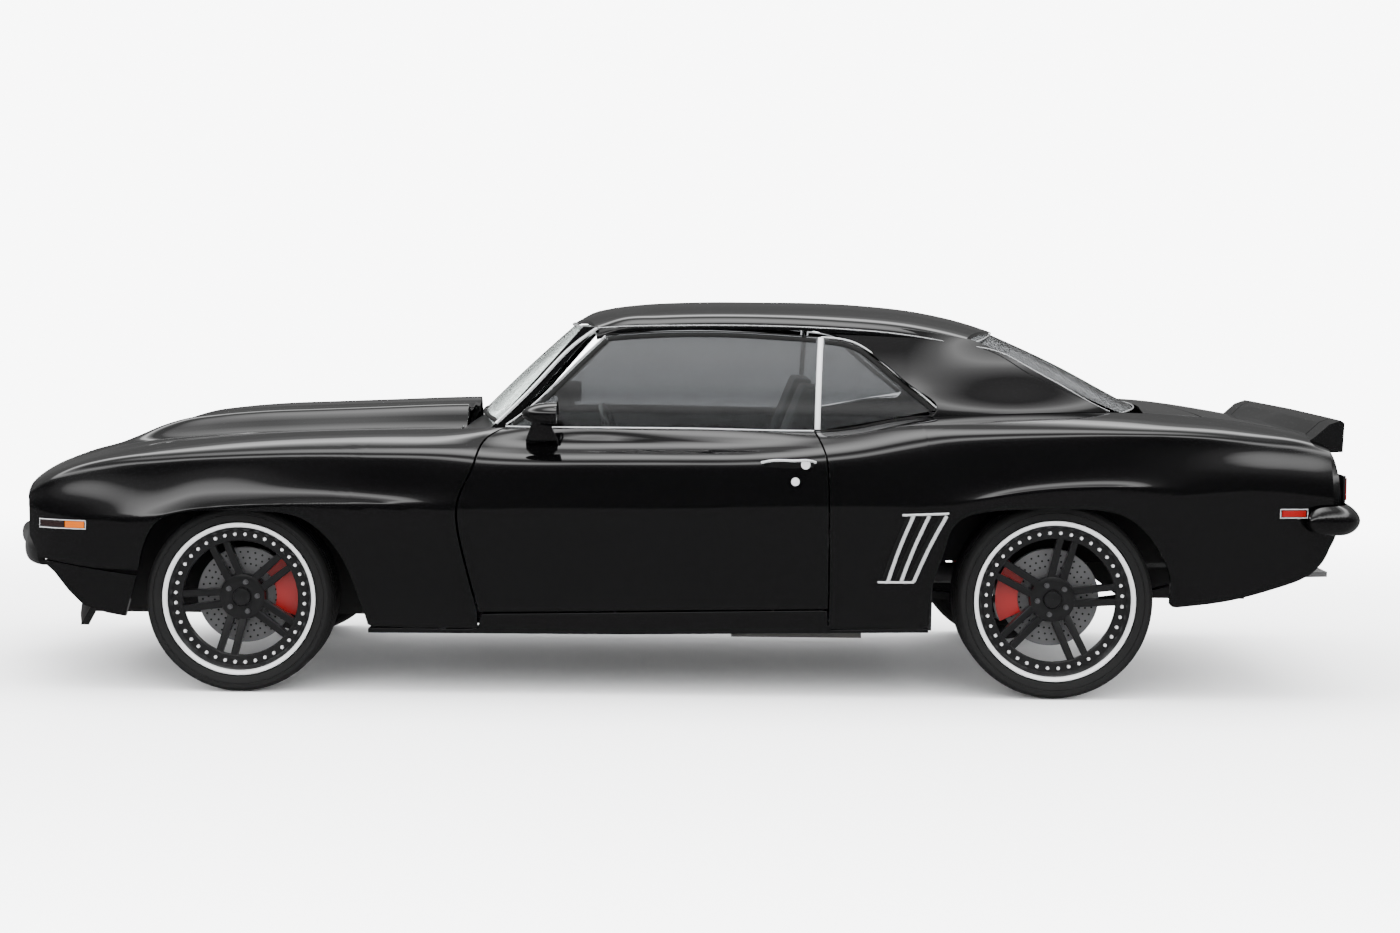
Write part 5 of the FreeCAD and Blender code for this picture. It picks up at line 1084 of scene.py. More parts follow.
def swell(value, low, high):
    """A smooth bump, nothing outside its two ends and one half way between them."""
    share = min(max((value - low) / (high - low), 0), 1)
    return math.sin(math.pi * share) ** 2


def sail_y(x, z):
    return (curve_value(SAIL_LEAN, z) - curve_value(SAIL_TAPER, x)
            - SAIL_DISH * swell(x, -1560, -830) ** 0.6 * swell(z, 950, 1262) ** 0.8)


def sail_mesh():
    """The broad pillar between the side glass and the rear window."""
    columns = 70
    rows = 40
    bottom = resampled(along_curve([(-1520, 963), (-1377, 962), (-1140, 955), (-905, 945)], 40), columns)
    end = resampled(along_curve([(-905, 945), (-923, 968), (-850, 1040), (-766, 1107), (-700, 1156),
                                 (-620, 1203), (-560, 1222), (-480, 1240)], 60), rows)
    start = resampled(along_curve([(-1520, 963), (-1480, 985), (-1360, 1052), (-1246, 1114), (-1140, 1170),
                                   (-1048, 1206)], 60), rows)
    top = resampled(along_curve([(-1048, 1206), (-863, 1236), (-700, 1250), (-573, 1250), (-480, 1240)], 60),
                    columns)
    outer = [[Vector((spot.x, sail_y(spot.x, spot.y), spot.y)) for spot in line]
             for line in coons(bottom, top, start, end)]
    inner = [[point - Vector((0, 20, 6)) for point in line] for line in outer]
    return shell_mesh(outer, inner)


def add_panels():
    for name, maker, body, node in (("fender_skin", fender_mesh, "body", "fender_{}"),
                                    ("quarter_skin", quarter_mesh, "body", "quarter_panel_{}"),
                                    ("door_skin", door_mesh, "door_{}", "door_{}"),
                                    ("rocker_skin", rocker_mesh, "body", "rocker_panels"),
                                    ("sail_skin", sail_mesh, "body", "sail_panel_{}")):
        both_sides(name, maker, body, "body_paint", BODY_BLACK, node)
    add_hood()
    add_roof()
    add_deck()
    add_nose()


# Nodes whose solids have the right shape, as (slot, material, names).
CARRIED_OVER = [
    ("black_metal", BODY_BLACK, "front_bumper rear_bumper"),
    ("body_paint", BODY_BLACK, "front_valance tail_panel rear_spoiler spoiler_ends"),
    ("body_paint", SATIN_BLACK, "cowl_panel"),
    ("black_plastic", SATIN_BLACK, "chin_spoiler"),
    ("black_plastic", BLACK_PLASTIC, "grille"),
    ("engine_iron", ENGINE_PAINT, "powertrain"),
    ("cast_iron", CAST_IRON, "rear_axle"),
    ("chassis_metal", CHASSIS_BLACK,
     "front_subframe leaf_springs floor_pan inner_fenders wheelhouses radiator_support"),
    ("chassis_metal", CARPET, "trunk_floor"),
    ("carpet", CARPET, "parcel_shelf"),
    ("dash_plastic", DASH_PLASTIC, "dashboard"),
    ("pipe_steel", PIPE_STEEL, "exhaust"),
    ("tank_metal", CHASSIS_BLACK, "fuel_tank"),
    ("red_metal", CALIPER_RED, "rear_calipers")]


def add_carried_over():
    for slot, material, names in CARRIED_OVER:
        for node in names.split():
            body = "trunk_lid" if node == "rear_spoiler" else "body"
            place(smooth_copy(node, material), body, slot, node)


# Glass

WINDSHIELD = [[(340, 0, 1229), (310, 300, 1227), (272, 500, 1224), (256, 582, 1221)],
              [(512, 0, 1072), (488, 300, 1072), (450, 530, 1072), (420, 621, 1072)],
              [(658, 0, 928), (634, 300, 926), (594, 560, 920), (568, 655, 914)]]
REAR_WINDOW = [[(-1176, 0, 1214), (-1140, 300, 1206), (-1085, 500, 1192), (-1050, 590, 1184)],
               [(-1432, 0, 1098), (-1398, 300, 1096), (-1336, 520, 1090), (-1296, 612, 1086)],
               [(-1602, 0, 1008), (-1572, 300, 1006), (-1512, 530, 1002), (-1474, 618, 998)],
               [(-1690, 0, 962), (-1664, 300, 960), (-1608, 530, 958), (-1572, 622, 956)]]
GLASS_LEAN = [(860, 764), (900, 760), (1000, 728), (1100, 691), (1180, 658), (1240, 632)]


def glass_y(z):
    return curve_value(GLASS_LEAN, z)


def on_glass(spots, lift):
    """Places over the side glass, raised from it, from (x, z) points."""
    return [(x, glass_y(z) + lift, z) for x, z in spots]


def side_pane(bottom, top, start, end):
    columns = 30
    rows = 24
    net = coons(resampled(bottom, columns), resampled(along_curve(top, 30), columns),
                resampled(along_curve(start, 30), rows), resampled(along_curve(end, 30), rows))
    outer = [[Vector((spot.x, glass_y(spot.y), spot.y)) for spot in line] for line in net]
    inner = [[point - Vector((0, 5, 0)) for point in line] for line in outer]
    return shell_mesh(outer, inner)


def door_pane_mesh():
    return side_pane([(-505, 892), (538, 892)], [(-526, 1205), (-300, 1218), (20, 1218), (200, 1208)],
                     [(-505, 892), (-526, 1205)], [(538, 892), (470, 950), (330, 1085), (200, 1208)])


def quarter_pane_mesh():
    return side_pane([(-930, 968), (-700, 926), (-526, 896)], [(-640, 1192), (-534, 1208)],
                     [(-930, 968), (-850, 1036), (-766, 1104), (-640, 1192)], [(-526, 896), (-534, 1208)])


def add_glass():
    """Windshield, rear window and side panes, each a thin curved slab."""
    for node, rows, offset, material, slot in (
            ("windshield", WINDSHIELD, (-6, 0, -2.4), CLEAR_GLASS, "clear_glass"),
            ("rear_window", REAR_WINDOW, (6, 0, -6), TINTED_GLASS, "tinted_glass")):
        add_piece(node + "_pane", rows_panel(rows, 50, 24, offset), material, "body", slot, node)
    for name, maker, body, node in (("door_pane", door_pane_mesh, "door_{}", "door_glass_{}"),
                                    ("quarter_pane", quarter_pane_mesh, "body", "quarter_glass")):
        both_sides(name, maker, body, "tinted_glass", TINTED_GLASS, node, bevel=0)


# Wheels

FACE = 884
# Radius, width and the radius of the rim's lip.
TYRE = {"front": (315, 245, 258), "rear": (333, 275, 273)}
SPOKE_TURN = {"front": 22, "rear": -12}
RIVET_RING = {"front": 217, "rear": 230}
DISC_RADIUS = {"front": 163, "rear": 166}
SPOKE_PAIRS = 5
RIVETS = 40
DISC_HOLES = 36
SPOKE_WIDTH = 23
BOLT_CIRCLE = 52
HUB_FACE = FACE - 142


def tyre_mesh(end):
    """A low-profile tyre: a rounded sidewall with a rib, and a tread with grooves."""
    radius, width, lip = TYRE[end]
    near = [(19.5, lip - 13.5), (16.5, lip + 0.5), (8, lip + 5), (4.5, lip + 14), (1.5, lip + 26),
            (3, lip + 28), (0.5, lip + 30), (0, radius - 27), (1.2, radius - 20), (0.8, radius - 17),
            (5, radius - 11), (14, radius - 5.5), (26, radius - 2.6)]
    for groove in (44, 82):
        near += [(groove - 5, radius - 1.2), (groove - 4, radius - 8), (groove + 4, radius - 8),
                 (groove + 5, radius - 0.6)]
    near += [(width / 2 - 5, radius), (width / 2 - 4, radius - 8)]
    profile = [(FACE - inset, high) for inset, high in near]
    profile += [(FACE - width + inset, high) for inset, high in reversed(near)]
    build = turned(profile, AXLES[end], 160)
    outward(build)
    return build


def add_spoke(build, centre, angle, side, lip):
    """One slim bar of a pair: it leans out from the hub to the stepped ring."""
    # Radius, half width, distance from the pair's middle, front face and depth.
    hub_end = (66, SPOKE_WIDTH * 1.15 / 2, 21, FACE - 78, 40)
    ring_end = (lip - 46, SPOKE_WIDTH / 2, 26, FACE - 34, 30)
    part = bmesh.ops.create_cube(build, size=1)["verts"]
    for vert in part:
        radius, half, aside, face, depth = ring_end if vert.co.z > 0 else hub_end
        across_to = side * aside + (half if vert.co.x > 0 else -half)
        vert.co = Vector((across_to, face if vert.co.y > 0 else face - depth, radius))
    bmesh.ops.recalc_face_normals(build, faces=faces_of(part))
    result = bevelled(build, edges_of(part), 4, 3, 0.6)
    verts = list({vert for face in result["faces"] for vert in face.verts} | {v for v in part if v.is_valid})
    turn = Matrix.Rotation(math.radians(angle), 3, "Y")
    bmesh.ops.rotate(build, cent=(0, 0, 0), matrix=turn, verts=verts)
    bmesh.ops.translate(build, vec=centre, verts=verts)


def rim_mesh(end):
    """Barrel, stepped ring, five twin spokes and the hub, in satin black."""
    _, width, lip = TYRE[end]
    back = FACE - width
    seat = lip - 14
    ring_in = lip - 64
    centre = AXLES[end]
    profile = [(FACE - 10, lip - 2), (FACE - 16, lip), (FACE - 19, seat), (back + 19, seat), (back + 16, lip),
               (back + 10, lip), (back + 10, lip - 8), (back + 18, seat - 9), (FACE - 58, seat - 9),
               (FACE - 58, ring_in), (FACE - 40, ring_in), (FACE - 37, ring_in + 3),
               (FACE - 36, ring_in + 34), (FACE - 33, ring_in + 36), (FACE - 22, seat - 6),
               (FACE - 12, lip - 7)]
    build = turned(profile, centre, 128)
    for index in range(SPOKE_PAIRS):
        for side in (-1, 1):
            add_spoke(build, centre, SPOKE_TURN[end] + 360 / SPOKE_PAIRS * index, side, lip)
    hub = [(HUB_FACE, 24), (FACE - 82, 24), (FACE - 74, 30), (FACE - 72, 34), (FACE - 72, 66),
           (FACE - 76, 76), (FACE - 84, 80), (HUB_FACE, 78)]
    turned(hub, centre, 64, build)
    bmesh.ops.remove_doubles(build, verts=build.verts, dist=0.01)
    return build


def add_wheel(end, side):
    lip = TYRE[end][2]
    centre = AXLES[end]
    label = "%s_%s" % (end, side)

    def add(name, build, material, slot, *nodes, smooth=35):
        add_piece("%s_%s" % (name, label), build, material, "wheel_" + label, slot, *nodes, smooth=smooth,
                  mirrored=side == "right")

    def add_turned(name, profile, steps, material, slot):
        build = turned(profile, centre, steps)
        outward(build)
        add(name, build, material, slot)

    def ring_spot(angle, radius, y):
        return Vector((centre.x + radius * math.sin(angle), y, centre.z + radius * math.cos(angle)))

    def stud(build, start, from_y, to_y, *sizes):
        rod(start + Vector((0, from_y, 0)), start + Vector((0, to_y, 0)), *sizes, build)

    add("tyre_rubber", tyre_mesh(end), TYRE_RUBBER, "tyre", "tyre_" + label)
    add("spoked_rim", rim_mesh(end), WHEEL_BLACK, "rim_black", "rim_" + label)
    rivets = bmesh.new()
    for index in range(RIVETS):
        spot = ring_spot(2 * math.pi * (index + 0.5) / RIVETS, RIVET_RING[end], FACE - 38)
        stud(rivets, spot, 0, 9, 6.8, 12, 4.6)
    add("ring_rivets", rivets, POLISHED, "chrome", smooth=50)
    edge = [(FACE - 11, lip - 1), (FACE - 9.2, lip - 3), (FACE - 10.5, lip - 9), (FACE - 15, lip - 14.5),
            (FACE - 22, lip - 17.5), (FACE - 24, lip - 16.5), (FACE - 14, lip - 5)]
    add_turned("bright_lip", edge, 160, POLISHED, "chrome")
    cap = [(FACE - 96, 0.5), (FACE - 61, 0.5), (FACE - 62, 18), (FACE - 65, 28), (FACE - 71, 31),
           (FACE - 96, 31)]
    add_turned("centre_cap", cap, 48, WHEEL_BLACK, "rim_black")
    bolts = bmesh.new()
    for index in range(SPOKE_PAIRS):
        between = 360 / SPOKE_PAIRS * (index + 0.5)
        start = ring_spot(math.radians(SPOKE_TURN[end] + between), BOLT_CIRCLE, FACE - 74)
        stud(bolts, start, 0, 9, 9, 24, 9)
        stud(bolts, start, 8, 16, 6.5, 6, 5.5)
    add("wheel_bolts", bolts, BOLT_STEEL, "chrome", smooth=20)
    radius = DISC_RADIUS[end]
    disc = [(HUB_FACE, 76), (HUB_FACE, radius - 1), (FACE - 143, radius), (FACE - 152, radius),
            (FACE - 153, radius - 5), (FACE - 159, radius - 5), (FACE - 160, radius), (FACE - 169, radius),
            (FACE - 170, radius - 1), (FACE - 170, 76)]
    add_turned("brake_disc", disc, 96, DISC_STEEL[end], "chrome")
    # The drilled holes are drawn as short black studs on the disc's face: their black is painted shade.
    holes = bmesh.new()
    for index in range(DISC_HOLES):
        for row in range(3):
            angle = 2 * math.pi * (index + row / 3) / DISC_HOLES
            stud(holes, ring_spot(angle, 106 + 20 * row, FACE - 143), 0, 1.25, 3.6, 8, None)
    add("disc_hole_painted_shade", holes, SHADE_BLACK, "rim_black")


def add_knuckles():
    """Copies of the knuckles, with the caliper's faces in red."""
    for side in SIDES:
        node = "knuckle_" + side
        item = smooth_copy(node, CAST_IRON, CALIPER_RED)
        for face in item.data.polygons:
            rest = face.center / MM - FRONT_AXLE
            if math.hypot(rest.x, rest.z) > 104 and rest.x < -60 and abs(face.center.y) > 0.688:
                face.material_index = 1
        place(item, node, "cast_iron", node)


# Bright trim, lamps and fittings

OUTWARD = (0, 1, 0.4)
# Strips on both sides, as (name, path, width, depth, material, body, way out of the surface, points).
TRIM = [
    ("pillar_trim", [(574, 700, 905), (430, 674, 1050), (300, 645, 1185), (235, 634, 1232)],
     13, 6, CHROME, "body", (0.35, 1, 0.3), None),
    ("drip_rail", [(235, 640, 1232), (159, 646, 1238), (20, 650, 1243), (-200, 651, 1246), (-573, 649, 1239),
                   (-863, 645, 1214), (-1048, 634, 1182)], 3.2, 6, CHROME, "body", (0, 1, 0.3), 40),
    ("rear_window_trim", [(-1048, 634, 1184), (-1140, 652, 1166), (-1246, 674, 1112), (-1360, 688, 1050),
                          (-1480, 690, 984), (-1520, 686, 966)], 3.2, 5, CHROME, "body", (-0.4, 1, 0.4), 30),
    ("belt_trim", [(536, 770, 899), (420, 799, 899.5), (-121, 799, 899.5), (-391, 799, 896),
                   (-506, 799, 896)], 5.5, 4, CHROME, "door_{}", (0, 0.8, 0.6), 40),
    ("quarter_belt_trim", [(-513, 799, 896), (-600, 797, 901), (-662, 794, 911), (-756, 786, 931),
                           (-907, 772, 950)], 5, 4, RUBBER_SEAL, "body", (0, 0.8, 0.6), 30),
    ("vent_trim", on_glass([(534, 905), (470, 952), (330, 1087), (206, 1206)], 3),
     5.5, 6, CHROME, "door_{}", OUTWARD, None),
    ("window_top_trim", on_glass([(206, 1210), (20, 1221), (-300, 1221), (-524, 1209)], 3),
     4.5, 6, RUBBER_SEAL, "door_{}", OUTWARD, 30),
    ("vent_seal", on_glass([(512, 905), (452, 950), (318, 1078), (200, 1192)], 1),
     17, 5, RUBBER_SEAL, "door_{}", OUTWARD, None),
    ("window_top_seal", on_glass([(196, 1196), (20, 1209), (-300, 1209), (-516, 1197)], 1),
     17, 5, RUBBER_SEAL, "door_{}", OUTWARD, 30),
    ("quarter_window_seal", on_glass([(-546, 1192), (-640, 1176), (-752, 1096), (-836, 1028)], 1)
     + on_glass([(-912, 968)], 2), 17, 5, RUBBER_SEAL, "body", OUTWARD, 40),
    ("window_post", on_glass([(-519, 898), (-524, 1050), (-532, 1207)], 4),
     19, 8, POLISHED, "body", OUTWARD, 20),
    ("quarter_window_trim", on_glass([(-534, 1209), (-640, 1194), (-766, 1106), (-850, 1038)], 4)
     + on_glass([(-932, 968)], 6), 7, 7, CHROME, "body", OUTWARD, 40)]
# Strips across the car, as (name, half path, width, depth, material, way out of the surface).
CROSS_TRIM = [
    ("windshield_top_trim", [(343, 0, 1236), (313, 300, 1233), (275, 500, 1229), (252, 588, 1226)],
     9, 6, CHROME, (1, 0, 0.6)),
    ("windshield_base_trim", [(664, 0, 924), (640, 300, 922), (600, 560, 916), (574, 660, 910)],
     14, 7, RUBBER_SEAL, (1, 0, 0.6)),
    ("rear_window_top_trim", [(-1178, 0, 1220), (-1143, 300, 1212), (-1088, 500, 1198), (-1046, 602, 1190)],
     6, 5, CHROME, (-1, 0, 1)),
    ("rear_window_foot_trim", [(-1692, 0, 966), (-1666, 300, 964), (-1610, 530, 962), (-1574, 626, 960)],
     6, 5, CHROME, (-1, 0, 1))]


def strip_both(name, path, width, depth, material, body="body", normal=(0, 1, 0), count=None):
    """A left strip and its mirror image."""
    for side, sign in SIDES.items():
        points = [(x, sign * y, z) for x, y, z in path]
        add_strip("%s_%s" % (name, side), points, width, depth, material, body.format(side),
                  (normal[0], sign * normal[1], normal[2]), count)


def add_window_trim():
    for strip in TRIM:
        strip_both(*strip)
    for name, half, width, depth, material, normal in CROSS_TRIM:
        add_strip(name, across(half), width, depth, material, "body", normal, 40)


def side_spot(x, z, lift=0.0):
    """A point on the body side at a drawn place, raised from the skin."""
    point = SKIN.point(x, SKIN.row_at(x, z))
    return (point.x, point.y + lift, point.z)


LENS_LIFT = 3
FRAME_LIFT = 2


def lens_mesh(x_range, z_range):
    """A shallow lens with rounded edges that follows the body side."""
    columns = 14
    rows = 6
    outer = []
    for j in range(rows):
        z = z_range[0] + (z_range[1] - z_range[0]) * j / (rows - 1)
        places = [x_range[0] + (x_range[1] - x_range[0]) * i / (columns - 1) for i in range(columns)]
        outer.append([Vector(side_spot(x, z, LENS_LIFT)) for x in places])
    inner = [[point - Vector((0, LENS_LIFT + 3, 0)) for point in line] for line in outer]
    return shell_mesh(outer, inner)


def frame_around(x_range, z_range):
    """Four paths round a lens."""
    x0, x1 = x_range
    z0, z1 = z_range
    paths = ([(x0, z0), (x0, z1)], [(x, z1) for x in np.linspace(x0, x1, 5)],
             [(x1, z1), (x1, z0)], [(x, z0) for x in np.linspace(x1, x0, 5)])
    return [[side_spot(x, z, FRAME_LIFT) for x, z in path] for path in paths]


def add_markers():
    for name, x_range, z_range, material in (("amber_marker", (1933, 2001), (552, 574), AMBER_LENS),
                                             ("dark_marker", (2004, 2092), (554, 573), DARK_LENS),
                                             ("rear_marker", (-2154, -2072), (629, 650), RED_LENS)):
        both_sides(name, lambda: lens_mesh(x_range, z_range), "body", "red_lens", material, bevel=1)
    for name, x_range, z_range in (("front_marker_frame", (1928, 2096), (549, 577)),
                                   ("rear_marker_frame", (-2160, -2066), (625, 654))):
        for number, run in enumerate(frame_around(x_range, z_range)):
            strip_both("%s_%d" % (name, number + 1), run, 3.4, 5, CHROME, count=8)


def buttons_mesh():
    """The handle's round push button in its ring, and the lock."""
    build = bmesh.new()
    for x, z, inner, outer in ((-474, 790, 8, 17), (-440, 733, 7, 15)):
        y = side_spot(x, z)[1]
        for radius, depth in ((outer, 4), (inner, 8)):
            rod((x, y - 3, z), (x, y + depth, z), radius, 32, radius - 2, build)
    return build


def add_door_fittings():
    """A slim pull bar over a black strip of painted shade where its hollow lies, with its button and the
    lock.
    """
    bar = [side_spot(*spot) for spot in ((-326, 796, 8), (-360, 803, 19), (-440, 804, 21), (-492, 803, 16),
                                         (-506, 798, 6))]
    # The black strip under the bar is painted shade for the handle's hollow.
    hollow = [side_spot(x, z, 1) for x, z in ((-334, 793), (-400, 790), (-498, 793))]
    strip_both("door_handle", bar, 9, 12, CHROME, "door_{}", (0, 1, 0.2), 30)
    strip_both("handle_painted_shade", hollow, 27, 3, SHADE_BLACK, "door_{}", (0, 1, 0.1), 24)
    both_sides("handle_button", buttons_mesh, "door_{}", "chrome", POLISHED, bevel=0.8)


def add_louvres():
    """Three curved slanting bars between a top and a bottom one, ahead of the rear wheel."""
    for number, (top, foot) in enumerate(((-835, -753), (-887, -797), (-945, -839))):
        path = [side_spot(x, z, 1) for x, z in ((top, 624), ((top + foot) / 2 + 2, 520), (foot, 402))]
        strip_both("louvre_%d" % (number + 1), path, 12, 7, CHROME, count=20)
        shadow = [(x + 14, y - 0.6, z) for x, y, z in path]
        strip_both("louvre_shadow_%d" % (number + 1), shadow, 13, 3, SHADE_BLACK, count=20)
    strip_both("louvre_top", [side_spot(-798, 625, 1), side_spot(-952, 632, 1)], 8, 6, CHROME, count=10)
    strip_both("louvre_foot", [side_spot(-719, 399, 1), side_spot(-839, 400, 1)], 8, 6, CHROME, count=10)


MIRROR_X = 354
MIRROR_Y = 928
MIRROR_Z = 950
MIRROR_HEAD = (118, 84, 41)
MIRROR_GLASS_HALF = (74, 35, 1)


def mirror_foot_mesh():
    foot = bmesh.new()
    shaped_block(foot, 1, (352, 466), (388, 438), (806, 856), (850, 884), 850, 934)
    bevelled(foot, foot.edges[:], 9, 3)
    bmesh.ops.recalc_face_normals(foot, faces=foot.faces)
    return foot


def add_mirrors():
    """A bullet-shaped head on a slim foot, with its glass facing the driver."""
    for side, sign in SIDES.items():
        head = bmesh.new()
        bmesh.ops.create_uvsphere(head, u_segments=48, v_segments=32, radius=1)
        cut = bmesh.ops.bisect_plane(head, geom=head.verts[:] + head.edges[:] + head.faces[:],
                                     plane_co=(0, 0, 0), plane_no=(1, 0, 0), clear_inner=True)
        rim = [edge for edge in cut["geom_cut"] if isinstance(edge, bmesh.types.BMEdge)]
        cap = bmesh.ops.holes_fill(head, edges=rim, sides=0)["faces"]
        bmesh.ops.inset_region(head, faces=cap, thickness=0.09, depth=-0.04)
        bmesh.ops.scale(head, vec=MIRROR_HEAD, verts=head.verts)
        bmesh.ops.translate(head, vec=(MIRROR_X, sign * MIRROR_Y, MIRROR_Z), verts=head.verts)
        bmesh.ops.recalc_face_normals(head, faces=head.faces)
        add_piece("mirror_head_" + side, head, BODY_BLACK, "door_" + side, "black_metal",
                  "door_mirror_" + side, bevel=2)
        glass = bmesh.new()
        bmesh.ops.create_circle(glass, cap_ends=True, segments=48, radius=1)
        bmesh.ops.scale(glass, vec=MIRROR_GLASS_HALF, verts=glass.verts)
        for angle, axis in ((90, "Z"), (-90, "Y")):
            turn = Matrix.Rotation(math.radians(angle), 3, axis)
            bmesh.ops.rotate(glass, cent=(0, 0, 0), matrix=turn, verts=glass.verts)
        bmesh.ops.translate(glass, vec=(MIRROR_X + 3.6, sign * MIRROR_Y, MIRROR_Z), verts=glass.verts)
        add_piece("mirror_glass_" + side, glass, MIRROR_GLASS, "door_" + side, "chrome")
    both_sides("mirror_foot", mirror_foot_mesh, "door_{}", "body_paint", BODY_BLACK, bevel=0)


LAMP_FRONT = 2138
LAMP_Y = 590
LAMP_Z = 510
# Profiles as (place ahead of the lamp's front, radius).
LAMP_PARTS = [
    ("lamp_glass", [(13, 0.3), (10, 25), (3, 48), (-2, 57), (-6, 57), (-1, 47), (6, 24), (9, 0.3)],
     LAMP_GLASS, "lamp_glass", ["headlamps"]),
    ("lamp_bowl", [(-56, 0.3), (-54, 14), (-40, 34), (-18, 50), (-4, 57), (-4, 60), (-22, 54), (-46, 38),
                   (-62, 16), (-64, 0.3)], CHROME, "chrome", []),
    ("lamp_ring", [(-5, 57), (2, 57), (5, 60), (2, 61.5), (-46, 61.5), (-46, 60)], BLACK_PLASTIC,
     "black_plastic", [])]


def add_headlamps():
    """Two round lamps: a bright bowl behind a domed glass, in a dark ring."""
    for side, sign in SIDES.items():
        y = sign * LAMP_Y
        for name, profile, material, slot, nodes in LAMP_PARTS:
            build = bmesh.new()
            verts = [build.verts.new((LAMP_FRONT + ahead, y, LAMP_Z + radius)) for ahead, radius in profile]
            spin_loop(build, verts, (0, y, LAMP_Z), (1, 0, 0), 48)
            outward(build)
            add_piece("%s_%s" % (name, side), build, material, "body", slot, *nodes)


def add_tail_lamps():
    """Three upright lenses a side on one dark base."""
    for side, sign in SIDES.items():
        for number, y in enumerate((300, 465, 630)):
            build = slab((-2316, -2305), sorted((sign * y, sign * (y + 150))), (676, 754), 4)
            name = "tail_lens_%s_%d" % (side, number + 1)
            add_piece(name, build, RED_LENS, "body", "red_lens", "tail_lamps")
        base = slab((-2310, -2302), sorted((sign * 293, sign * 787)), (669, 761), 2)
        add_piece("tail_lamp_base_" + side, base, BLACK_PLASTIC, "body", "black_plastic")


# The pivot and the tip of each wiper.
WIPERS = [((592, 420, 902), (560, -60, 968)), ((598, -60, 904), (564, -520, 960))]


def add_wipers():
    for number, (pivot, tip) in enumerate(WIPERS):
        build = bmesh.new()
        x, y, z = [(a + b) / 2 for a, b in zip(pivot, tip)]
        rod(pivot, (pivot[0], pivot[1], pivot[2] + 16), 12, 20, 9, build)
        rod((pivot[0], pivot[1], pivot[2] + 12), (x + 16, y, z - 10), 5, 10, 3.5, build)
        rod((x + 20, y + 190, z - 20), (x + 8, y - 200, z - 4), 3.5, 10, build=build)
        add_piece("wiper_%d" % (number + 1), build, SATIN_BLACK, "body", "black_plastic")


# Cabin

SEAT_Y = 412
SEAT_HALF = 216
COLUMN_TOP = (150, SEAT_Y, 790)
COLUMN_TILT = 24
STEERING_RADIUS = 178


def cushion(name, side_view, span, nodes, channels, crown):
    """A soft block crowned between sewn channels, from its side view and its span across the car.

    The side view is the lower rear, lower front, upper rear and upper front corner.
    """
    corners = [Vector((side_view[u + 2 * w][0], span[v], side_view[u + 2 * w][1]))
               for w in (0, 1) for v in (0, 1) for u in (0, 1)]
    up_face = (corners[4] - corners[0]).normalized()
    build = bmesh.new()
    bmesh.ops.create_cube(build, size=2)
    bmesh.ops.subdivide_edges(build, edges=build.edges[:], cuts=11, use_grid_fill=True)
    for vert in build.verts:
        u, v, w = [(c + 1) / 2 for c in vert.co]
        spot = Vector((0, 0, 0))
        for index, corner in enumerate(corners):
            share = (u if index & 1 else 1 - u) * (v if index & 2 else 1 - v) * (w if index & 4 else 1 - w)
            spot += corner * share
        rise = crown * (1 - (2 * u - 1) ** 4) * (1 - (2 * v - 1) ** 4)
        sewn = 0.6 * abs(math.sin(math.pi * channels * u)) ** 0.6 if 0.12 < v < 0.88 else 0.5
        if w > 0.5:
            spot += up_face * (rise * (w - 0.5) * 2 * (0.5 + sewn) - crown * 0.6)
        vert.co = spot
    bmesh.ops.smooth_vert(build, verts=build.verts, factor=0.4, use_axis_x=True, use_axis_y=True,
                          use_axis_z=True)
    bmesh.ops.recalc_face_normals(build, faces=build.faces)
    item = add_piece(name, build, SEAT_LEATHER, "body", "seat_leather", *nodes, smooth=80)
    rounding = item.modifiers.new("soft", "SUBSURF")
    rounding.levels = 1
    rounding.render_levels = 1


SEAT_CUSHION = [(-372, 256), (164, 256), (-400, 462), (184, 478)]
SEAT_BACK = [(-545, 1030), (-398, 430), (-470, 1040), (-262, 470)]
BENCH = [(-796, 300), (-566, 300), (-796, 596), (-570, 474)]
BENCH_BACK = [(-1098, 868), (-1018, 604), (-1016, 872), (-802, 606)]


def add_seats():
    for side, sign in SIDES.items():
        span = (sign * SEAT_Y - SEAT_HALF, sign * SEAT_Y + SEAT_HALF)
        cushion("seat_cushion_" + side, SEAT_CUSHION, span, ["front_seats"], 6, 14)
        cushion("seat_back_" + side, SEAT_BACK, span, [], 6, 12)
    for side, span in (("left", (184, 546)), ("right", (-546, -184))):
        cushion("rear_bench_" + side, BENCH, span, ["rear_seat"], 4, 12)
    cushion("rear_bench_back", BENCH_BACK, (-546, 546), [], 4, 12)


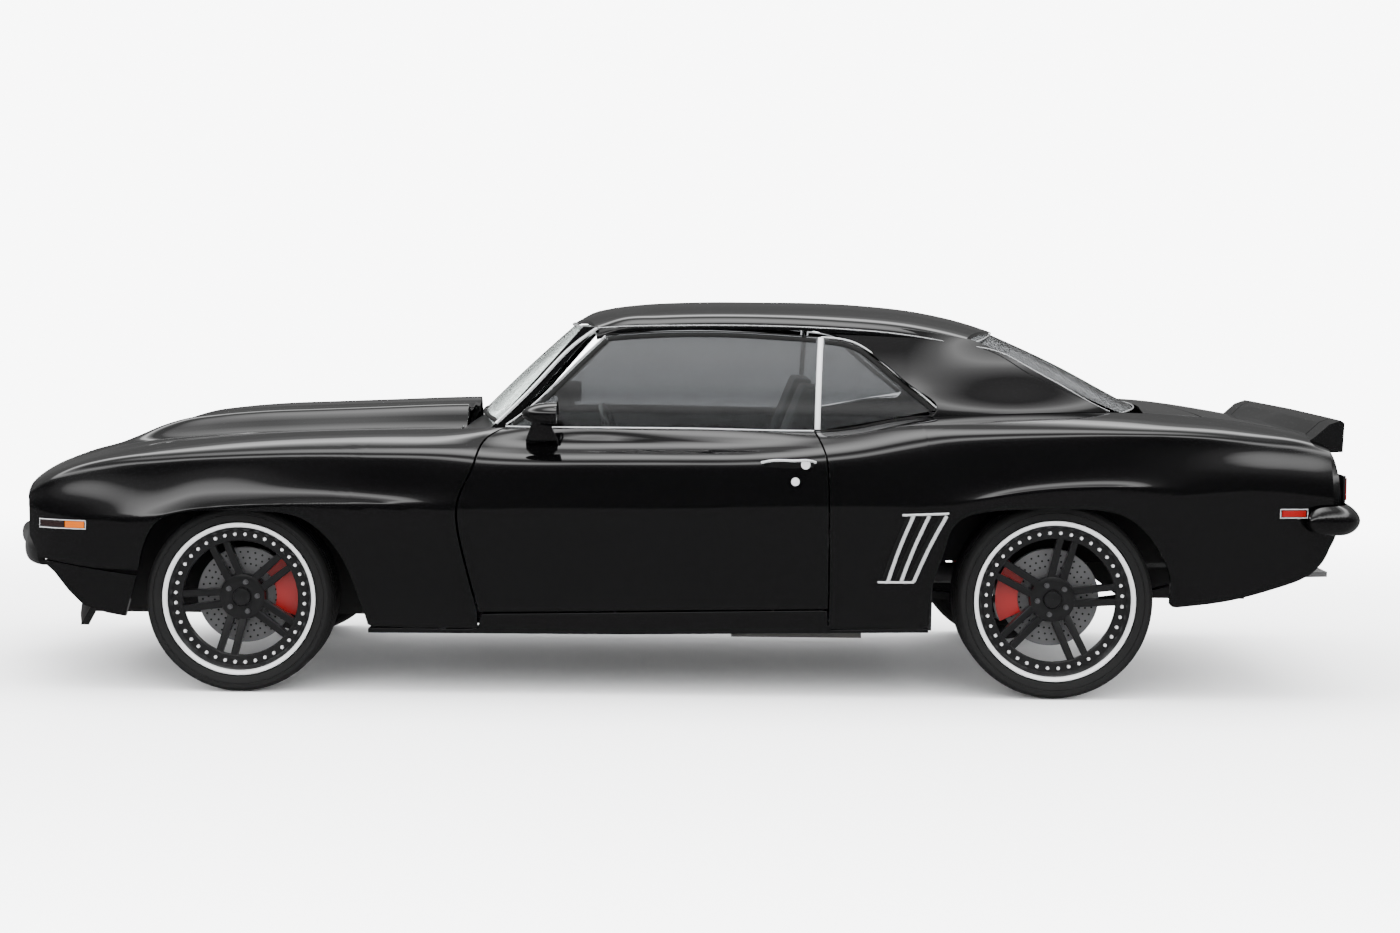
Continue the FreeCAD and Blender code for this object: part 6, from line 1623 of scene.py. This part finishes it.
def add_at_column(name, build, material, slot, *nodes, bevel=0):
    """Turns a piece drawn round the upright axis to the steering column, and adds it."""
    tilt = math.radians(COLUMN_TILT)
    axis = Vector((math.cos(tilt), 0, -math.sin(tilt)))
    turn = axis.to_track_quat("Z", "Y").to_matrix()
    bmesh.ops.rotate(build, cent=(0, 0, 0), matrix=turn, verts=build.verts)
    bmesh.ops.translate(build, vec=COLUMN_TOP, verts=build.verts)
    add_piece(name, build, material, "steering_wheel", slot, *nodes, bevel=bevel, smooth=50)


def add_steering_wheel():
    build = bmesh.new()
    profile = bmesh.ops.create_circle(build, radius=12.5, segments=16)["verts"]
    bmesh.ops.rotate(build, cent=(0, 0, 0), matrix=Matrix.Rotation(math.radians(90), 3, "X"), verts=profile)
    bmesh.ops.translate(build, vec=(STEERING_RADIUS, 0, 0), verts=profile)
    bmesh.ops.spin(build, geom=profile + list(build.edges), cent=(0, 0, 0), axis=(0, 0, 1), dvec=(0, 0, 0),
                   angle=2 * math.pi, steps=64, use_merge=True)
    outward(build)
    add_at_column("steering_rim", build, SEAT_LEATHER, "wheel_leather", "steering_wheel")
    spokes = bmesh.new()
    for angle in (90, 0, 180):
        turn = Matrix.Rotation(math.radians(angle), 3, "Z")
        for vert in bmesh.ops.create_cube(spokes, size=1)["verts"]:
            reach, half = (170, 11) if vert.co.x > 0 else (20, 17)
            vert.co = turn @ Vector((reach, half if vert.co.y > 0 else -half, 3 if vert.co.z > 0 else -3))
    bmesh.ops.recalc_face_normals(spokes, faces=spokes.faces)
    rod((0, 0, -2), (0, 0, 56), 42, 48, 24, spokes)
    add_at_column("steering_spokes", spokes, POLISHED, "chrome", bevel=1.5)


def add_cabin():
    add_seats()
    add_steering_wheel()
    carpet = slab((-560, 730), (-690, -190), (250.5, 256), 1)
    slab((-560, 730), (190, 690), (250.5, 256), 1, carpet)
    add_piece("floor_carpet", carpet, CARPET, "body", "carpet")
    for side, sign in SIDES.items():
        card = slab((-480, 520), sorted((sign * 752, sign * 764)), (330, 872), 6)
        add_piece("door_card_" + side, card, DASH_PLASTIC, "door_" + side, "dash_plastic")


add_camera()
add_studio()
add_panels()
add_carried_over()
add_glass()
for wheel_end in AXLES:
    for wheel_side in SIDES:
        add_wheel(wheel_end, wheel_side)
add_knuckles()
add_window_trim()
add_markers()
add_door_fittings()
add_louvres()
add_mirrors()
add_headlamps()
add_tail_lamps()
add_wipers()
add_cabin()
